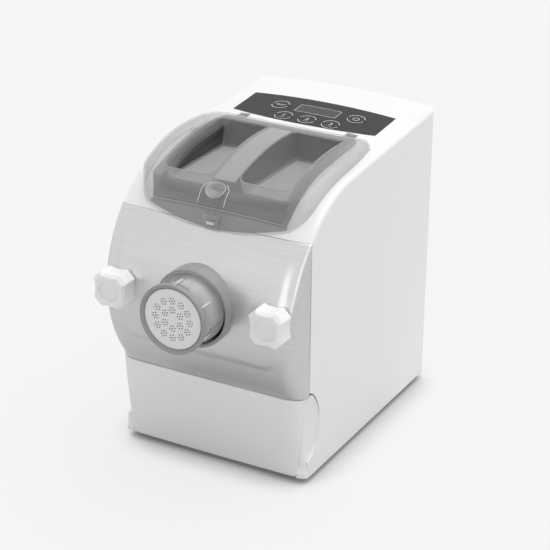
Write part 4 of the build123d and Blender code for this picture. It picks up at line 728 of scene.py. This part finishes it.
def makeLidDome(p):
    # rings of the plan outline: the upright wall, a round edge, then the top shrinking to its middle
    plan = lidPlan(480)
    centre = np.array((0.0, p["middleY"]))
    top = lidTop(plan[:, 1]) - p["edgeRound"]
    bottom = np.maximum(casingTop(plan[:, 0], plan[:, 1]) + p["lift"], p["lowZ"])
    bottom = np.minimum(bottom, top - p["thickness"])
    rows = [np.column_stack((plan, bottom + (top - bottom) * share)) for share in np.linspace(0, 1, 16)]
    outward = plan - centre
    outward = outward / np.linalg.norm(outward, axis=1)[:, None]
    for turn in np.linspace(0, pi / 2, 10)[1:]:
        at = plan - outward * p["edgeRound"] * (1 - cos(turn))
        rows.append(onLid(at, -p["edgeRound"] * (1 - sin(turn))))
    start = plan - outward * p["edgeRound"]
    rows += [onLid(shrink(start, centre, share), 0.0) for share in np.linspace(1, 0.01, 96)[1:]]
    x, y, z = np.moveaxis(np.array(rows), -1, 0)
    # crease along the front, below which the wall is set back
    crease = p["creaseLow"] + p["creaseRise"] * (1 - (x / p["creaseHalf"]) ** 2)
    front = (y < p["creaseY"]) & (np.abs(x) < p["creaseX"])
    y = y + np.where(front, p["creaseDepth"] * smooth(crease - z, -0.5, 0.5), 0)
    # the holes over the wells: the points on their edges move straight onto the well's outline
    far = wellDistance(x, y)
    middle = (far[:-1] + far[1:] + np.roll(far, -1, 1)[:-1] + np.roll(far, -1, 1)[1:]) / 4
    keep = (middle > 0) | (z[:-1] <= p["wellLowest"]) | (z[1:] <= p["wellLowest"])
    edge = rim(keep, closedV=True)
    for _ in range(3):
        far = wellDistance(x, y)
        slopeX = (wellDistance(x + 0.1, y) - wellDistance(x - 0.1, y)) / 0.2
        slopeY = (wellDistance(x, y + 0.1) - wellDistance(x, y - 0.1)) / 0.2
        x, y = x - np.where(edge, far * slopeX, 0), y - np.where(edge, far * slopeY, 0)
    z = np.where(edge, lidTop(y), z)
    piece = surface("lidDome", np.stack((x, y, z), axis=-1), "lid", "lid_clear", closedV=True, keep=keep,
                    caps="last", flip=True)
    wall(piece, p["thickness"])
    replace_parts(piece, "lid_shell")


def makeWell(p, side):
    # rings round the well's outline: a rounded rim, a leaning wall, and a round foot down to a level floor,
    # on which a frosted sheet lies
    half, middle = wellSize()
    middle = middle * (side, 1)
    rows = []
    for inset, drop, share in p["wellRings"]:
        frontRound = max(p["wellFrontRound"] - inset * 0.6, 4)
        rearRound = max(p["wellRearRound"] - inset * 0.2, 2)
        ring = roundedRectangle(*(half - inset), frontRound, rearRound, 260) + middle
        top = lidTop(ring[:, 1]) - (p["thickness"] if share > 0 else drop)
        rows.append(np.column_stack((ring, top + (p["wellFloor"] - top) * share)))
    inner = rows[-1]
    for share in np.linspace(1, 0.02, 10)[1:]:
        rows.append(np.column_stack((shrink(inner[:, :2], middle, share), inner[:, 2])))
    name = sideName[side]
    piece = surface(name + "Well", np.array(rows), "lid", "lid_clear", closedV=True, finish=wellFinish,
                    caps="last")
    wall(piece, p["wellThickness"])
    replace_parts(piece, "lid_wells")
    ring = roundedRectangle(*(half - p["frostInset"]), 6, 3, 260) + middle
    level = np.full(len(ring), p["wellFloor"] + p["frostLift"])
    rows = [np.column_stack((shrink(ring, middle, share), level)) for share in np.linspace(1, 0.02, 8)]
    surface(name + "WellFloor", np.array(rows), "lid", "lid_clear", closedV=True, finish=frostFinish,
            caps="last")


def makeDivider(p):
    # the frosted strip under the top between the wells
    reach = p["wellInner"] - 1
    across, along = np.linspace(-reach, reach, 8), np.linspace(p["wellFront"] - 1, p["wellRear"], 60)
    x, y = np.meshgrid(across, along, indexing="ij")
    grid = np.stack((x, y, lidTop(y) - p["dividerDrop"]), axis=-1)
    wall(surface("dividerRib", grid, "lid", "lid_clear", finish=frostFinish), p["dividerThickness"])


skirt = {"halfX": 80.0, "halfY": 78.75, "middleY": -18.75, "corner": 4.0, "drop": 4.1, "thickness": 1.4}


def makeSkirt(s):
    # an upright band under the top that follows a rectangle with small corners
    ring = roundedRectangle(s["halfX"], s["halfY"], s["corner"], s["corner"], 400) + (0, s["middleY"])
    high = lidTop(ring[:, 1]) - lid["thickness"] + 0.2
    low = np.minimum(casingTop(ring[:, 0], ring[:, 1]) + s["drop"], high - 2.0)
    rows = [np.column_stack((ring, low + (high - low) * share)) for share in np.linspace(0, 1, 8)]
    piece = surface("lidSkirt", np.array(rows), "lid", "lid_clear", closedV=True, finish=skirtFinish)
    wall(piece, s["thickness"])


# ring of the arm: how far across, and inset of its side view
arm = {"x": 66.0, "eyeY": 70.0, "eyeZ": 326.0, "eyeRadius": 4.6, "eyeFrom": -2.2, "eyeTo": 1.9,
       "finger": [(66.6, 331.4), (63.2, 331.2), (63.0, 328.4), (65.2, 325.2)],
       "rings": [(-5.5, 0.9), (-5.5, 0.5), (-5.1, 0.0), (5.1, 0.0), (5.5, 0.5), (5.5, 0.9)], "size": 6.0}


def makeArm(a, side):
    # side view of a hinge arm, a finger that ends in an eye, carried across its width
    angle = np.linspace(a["eyeFrom"], a["eyeTo"], 28)
    eye = np.stack((np.cos(angle), np.sin(angle)), axis=1) * a["eyeRadius"] + (a["eyeY"], a["eyeZ"])
    outline = evenly(np.vstack((eye, a["finger"])), 60, closed=True)
    middle = outline.mean(axis=0)
    rows = []
    for across, inset in a["rings"]:
        at = shrink(outline, middle, 1 - inset / a["size"])
        rows.append(np.column_stack((np.full(len(at), side * a["x"] + across), at)))
    surface(sideName[side] + "Arm", np.array(rows), "lid", "lid_clear", closedV=True, caps="both")


def ribbon(name, path, width):
    # a raised line along a path of points on the lid, round in section, in a pale finish that paints a
    # highlight
    step = np.gradient(path, axis=0)
    step = step / np.linalg.norm(step, axis=1)[:, None]
    across = np.cross(step, (0.0, 0.35, 0.94))
    across = across / np.linalg.norm(across, axis=1)[:, None]
    rise = np.cross(across, step)
    circle = unitCircle(10)[None, :, :, None] * width / 2
    grid = path[:, None] + across[:, None] * circle[:, :, 0] + rise[:, None] * circle[:, :, 1]
    surface(name, grid, "lid", "lid_clear", closedV=True, finish=paintedHighlightFinish, caps="both", flip=True)


dimple = {"y": -101.2, "radius": 10.8, "depth": 5.5, "squash": 0.77, "lean": (0.45, 0.89), "lift": 0.25,
          "bead": 0.8}


def makeDimple(d):
    # thumb dimple: a bowl of depth (1 - r2 / R2) square to the slope, in a darker and less clear copy of the
    # clear plastic that paints the bowl's shade, and a bead round its rim whose pale finish is a painted
    # highlight
    around = np.linspace(0, tau, 72, endpoint=False)
    share, angle = np.meshgrid(np.linspace(1.0, 0.02, 18), around, indexing="ij")
    x = d["radius"] * share * np.cos(angle)
    y = d["y"] + d["squash"] * d["radius"] * share * np.sin(angle)
    bowl = d["depth"] * np.clip(1 - share**2, 0, 1)
    points = np.stack((x, y + d["lean"][0] * bowl, lidTop(y) + d["lift"] - d["lean"][1] * bowl), axis=-1)
    surface("thumbDimple", points, "lid", "lid_clear", closedV=True, finish=shadedDimpleFinish, caps="last")
    bead = arcAt((0, 0), d["radius"], -60, 240, 80) * (1, d["squash"]) + (0, d["y"])
    ribbon("dimpleRim", onLid(bead, d["lift"]), d["bead"])


mouth = {"outerX": 77.6, "outerY": 76.4, "outerCorner": 3.0, "x": 71.6, "front": -87.0, "rear": 57.0,
         "corner": 9.0, "sheet": 0.2, "lift": 0.3, "drops": (0.4, 4.0, 8.0),
         "sillX": 81.0, "sillRear": -96.0, "sillFront": -109.6, "sillBow": 10.3, "sillBowX": 79.0}


def makeMouth(m):
    # dark lining on the deck inside the skirt, which turns down into the tub's opening: on the deck it is
    # painted shade of the trough round the tub's mouth, where it turns down it is the tub's own dark plastic;
    # and a grey sill in front of it whose front edge is bowed
    outer = roundedRectangle(m["outerX"], m["outerY"], m["outerCorner"], m["outerCorner"], 400) + (
        0, skirt["middleY"])
    inner = roundedRectangle(m["x"], (m["rear"] - m["front"]) / 2, m["corner"], m["corner"], 400) + (
        0, (m["front"] + m["rear"]) / 2)
    rows = [onCasing(outer + (inner - outer) * share, m["lift"]) for share in np.linspace(0, 1, 8)]
    rows += [onCasing(inner, -drop) for drop in m["drops"]]
    # painted shade: the dark sheet lies on the white deck where the trough round the tub's mouth is in shade
    wall(surface("paintedMouthShade", np.array(rows), "casing", "tub_plastic", closedV=True), m["sheet"])
    x, t = np.meshgrid(np.linspace(-m["sillX"], m["sillX"], 120), np.linspace(0, 1, 16), indexing="ij")
    front = m["sillFront"] + m["sillBow"] * (x / m["sillBowX"]) ** 2
    y = m["sillRear"] + (front - m["sillRear"]) * t
    grid = np.stack((x, y, casingTop(x, y) + m["lift"]), axis=-1)[:, ::-1]
    wall(surface("mouthSill", grid, "casing", "ring_grey"), m["sheet"])


# painted highlight lines on the lid
highlightLines = {"skirtX": 78.0, "skirtY": -97.6, "skirtLift": 3.6, "skirtWidth": 0.9,
               "ribNear": 9.0, "ribSpread": 6.4, "ribRear": -93.5, "ribLength": 18.6, "ribWidth": 0.8,
               "ribSink": 0.9, "ribSinkFrom": (106, 110)}


def makeHighlightLines(b):
    # painted highlights along moulded edges: the skirt's lower edge and two ribs that run down beside the
    # dimple and sink in
    x = np.linspace(-b["skirtX"], b["skirtX"], 80)
    at = np.column_stack((x, np.full_like(x, b["skirtY"])))
    ribbon("skirtEdge", onCasing(at, b["skirtLift"]), b["skirtWidth"])
    t = np.linspace(0, 1, 40)
    y = b["ribRear"] - b["ribLength"] * t
    for side in (-1, 1):
        x = side * (b["ribNear"] + b["ribSpread"] * np.sin(np.minimum(t / 0.5, 1) * pi / 2))
        path = onLid(np.column_stack((x, y)), 0.1 - b["ribSink"] * smooth(-y, *b["ribSinkFrom"]))
        ribbon(sideName[side] + "Rib", path, b["ribWidth"])


# rings are y and share of the size
latchPane = {"halfX": 4.2, "halfZ": 1.5, "z": 281.0,
             "rings": [(-113.45, 1.0), (-113.75, 1.0), (-113.95, 0.94)]}


def makeLatchPane(w):
    # a small pane on the latch tab, with a bevelled front, whose pale finish is a painted highlight
    block = np.array(((-1, -1), (1, -1), (1, 1), (-1, 1))) * (w["halfX"], w["halfZ"])
    rows = np.array([upright(block * share, y, 0.0, w["z"]) for y, share in w["rings"]])
    surface("latchWindow", rows, "latch", "lid_clear", closedV=True, finish=paintedHighlightFinish, caps="both")


makeLidDome(lid)
for side in (-1, 1):
    makeArm(arm, side)
    makeWell(lid, side)
makeDivider(lid)
makeSkirt(skirt)
makeDimple(dimple)
makeMouth(mouth)
makeHighlightLines(highlightLines)
makeLatchPane(latchPane)
print("lid")


# printed marks; gap is the angle in degrees from a ring's break to the end of its arc
marks = {
    "ringRadius": 9.9, "gap": 14.0, "keyLift": 0.36, "plateLift": 0.06, "line": 0.7,
    "digitSize": 8.6, "digitRise": 0.6, "tickX": 3.2, "tickY": -5.0, "tickLine": 0.35,
    "powerRadius": 3.4, "powerBar": (1.4, 4.6), "bars": {"A": (1.0, 6.4), "B": (-1.0, 4.0)}, "barLine": 0.6,
    "display": (5.0, 112.5), "displayHalf": (25.0, 9.3), "displayCorner": 1.2, "displayLine": 0.5,
}
keyPlaces = {
    "program_key_1": (-24.0, 86.0), "program_key_2": (5.0, 86.0), "program_key_3": (34.0, 86.0),
    "manual_key": (-42.0, 112.5), "power_key": (52.0, 112.5),
}


def stripe(name, path, width, lift, body, slotName, closed=False):
    # a flat ribbon of even width along a path that lies on the deck
    path = np.asarray(path, dtype=float)
    step = np.roll(path, -1, 0) - np.roll(path, 1, 0) if closed else np.gradient(path, axis=0)
    step = step / np.linalg.norm(step, axis=1)[:, None]
    normal = np.stack((-step[:, 1], step[:, 0]), axis=1) * width / 2
    rows = np.array([onCasing(path + normal, lift), onCasing(path - normal, lift)])
    surface(name, rows, body, slotName, closedV=closed, finish=inkFinish, flip=True)


def digit(text, middle, size, lift, body):
    # a plain numeral from the built-in font, laid on the deck
    curve = bpy.data.curves.new("digit", "FONT")
    curve.body = text
    curve.size = size
    curve.align_x = curve.align_y = "CENTER"
    curve.resolution_u = 4
    source = bpy.data.objects.new("digit", curve)
    scene.collection.objects.link(source)
    data = bpy.data.meshes.new_from_object(source)
    flat = np.empty(len(data.vertices) * 3)
    data.vertices.foreach_get("co", flat)
    faces = [list(face.vertices) for face in data.polygons]
    bpy.data.objects.remove(source)
    bpy.data.meshes.remove(data)
    points = onCasing(flat.reshape(-1, 3)[:, :2] + middle, lift)
    mesh("digit" + text, points, faces, body, "key_dark", inkFinish)


def makeMarks(m):
    # a broken ring on every key, a numeral over a tick on the round keys, the power mark, two bars on the
    # left key and a frame round the display
    lift = m["keyLift"]
    for key, middle in keyPlaces.items():
        for start in (0, 180):
            path = arcAt(middle, m["ringRadius"], start + m["gap"], start + 180 - m["gap"])
            stripe(key + "Ring" + str(start), path, m["line"], lift, key, "key_dark")
    for number in "123":
        key = "program_key_" + number
        x, y = keyPlaces[key]
        digit(number, (x, y + m["digitRise"]), m["digitSize"], lift, key)
        path = [(x - m["tickX"], y + m["tickY"]), (x + m["tickX"], y + m["tickY"])]
        stripe("tick" + number, path, m["tickLine"], lift, key, "key_dark")
    x, y = keyPlaces["power_key"]
    stripe("powerArc", arcAt((x, y), m["powerRadius"], 120, 420), m["line"], lift, "power_key", "key_dark")
    stripe("powerBar", [(x, y + end) for end in m["powerBar"]], m["line"], lift, "power_key", "key_dark")
    x, y = keyPlaces["manual_key"]
    for letter, (shift, reach) in m["bars"].items():
        path = [(x - reach, y + shift), (x + reach, y + shift)]
        stripe("manualBar" + letter, path, m["barLine"], lift, "manual_key", "key_dark")
    corner = m["displayCorner"]
    path = roundedRectangle(*m["displayHalf"], corner, corner, 160) + m["display"]
    stripe("displayFrame", path, m["displayLine"], m["plateLift"], "casing", "plate_dark", closed=True)


makeMarks(marks)
print("marks")


# contact is the reach in metres of the painted contact shadow on the floor round what stands on it
stage = {"floorSize": 14.0, "floorShare": 0.12, "floorGlow": 0.782, "floorBounce": 0.64, "contact": 0.055,
         "paintedShadowTone": 0.12, "background": 0.913, "ambient": 0.4}
# azimuth (0 is the front, 90 the right), elevation, strength and spread
lamps = {"skyPanel": (150, 76, 2.15, 60), "frontPanel": (10, 30, 0.35, 50), "sidePanel": (88, 24, 0.12, 22)}


def makeFloor(s):
    # to the camera, a pale sheet that is partly lit and partly glows, and whose glow is darkened into a
    # painted contact shadow where something stands close above it; to the light that it throws back, a plain
    # pale sheet
    skin = Skin("floorPaper", Roughness=0.9, Specular_IOR_Level=0.0, Emission_Strength=s["floorGlow"])
    pale = (s["floorShare"],) * 3
    skin.feed("Base Color", skin.blend(skin.noise(40.0), shade(pale, 0.995), shade(pale, 1.005)))
    # painted contact shadow: ambient occlusion darkens the glow near what stands on the floor
    paintedShadow = skin.add("ShaderNodeAmbientOcclusion", {"samples": 8}, {"Distance": s["contact"]}, out="AO")
    dark = (s["paintedShadowTone"],) * 3
    skin.feed("Emission Color", skin.blend(paintedShadow.band(0.1, 0.85), dark, (1.0, 1.0, 1.0)))
    plain = skin.add("ShaderNodeBsdfDiffuse", None, {"Color": (s["floorBounce"],) * 3 + (1.0,)}, out="BSDF")
    away = skin.add("ShaderNodeLightPath", out="Is Diffuse Ray")
    away = away.calc("MAXIMUM", skin.add("ShaderNodeLightPath", out="Is Glossy Ray"))
    lit = Wire(skin, skin.shader.outputs["BSDF"])
    mix = skin.add("ShaderNodeMixShader", None, {"Fac": away, 1: lit, 2: plain}, out="Shader")
    skin.join(mix, "Material Output", "Surface")
    half = s["floorSize"] / 2
    data = bpy.data.meshes.new("floor")
    corners = [(-half, -half, 0), (half, -half, 0), (half, half, 0), (-half, half, 0)]
    data.from_pydata(corners, [], [(0, 1, 2, 3)])
    data.materials.append(skin.material)
    floor = bpy.data.objects.new("floor", data)
    scene.collection.objects.link(floor)


def makeWorld(s):
    # what the camera, metal and clear plastic see is the pale background; the rest is the ambient light
    world = bpy.data.worlds.new("studio")
    scene.world = world
    world.use_nodes = True
    sky = Tree(world.node_tree)
    direct, glossy, through = (sky.add("ShaderNodeLightPath", out="Is " + ray + " Ray")
                               for ray in ("Camera", "Glossy", "Transmission"))
    seen = direct.calc("MAXIMUM", glossy).calc("MAXIMUM", through)
    values = {"Value": seen, "To Min": s["ambient"], "To Max": s["background"]}
    sky.join(sky.add("ShaderNodeMapRange", None, values), "Background", "Strength")
    sky.nodes["Background"].inputs["Color"].default_value = (1, 1, 1, 1)


def makeSun(name, azimuth, elevation, strength, spread):
    # light from a compass direction about the object
    az, el = radians(azimuth), radians(elevation)
    towards = Vector((sin(az) * cos(el), -cos(az) * cos(el), sin(el)))
    data = bpy.data.lights.new(name, "SUN")
    data.energy = strength
    data.angle = radians(spread)
    lamp = bpy.data.objects.new(name, data)
    scene.collection.objects.link(lamp)
    lamp.rotation_euler = towards.to_track_quat("Z", "Y").to_euler()
    lamp.location = towards * 3


makeFloor(stage)
makeWorld(stage)
for name, values in lamps.items():
    makeSun(name, *values)
scene.view_settings.view_transform = "Standard"
scene.cycles.transparent_max_bounces = 32
print("stage ready")
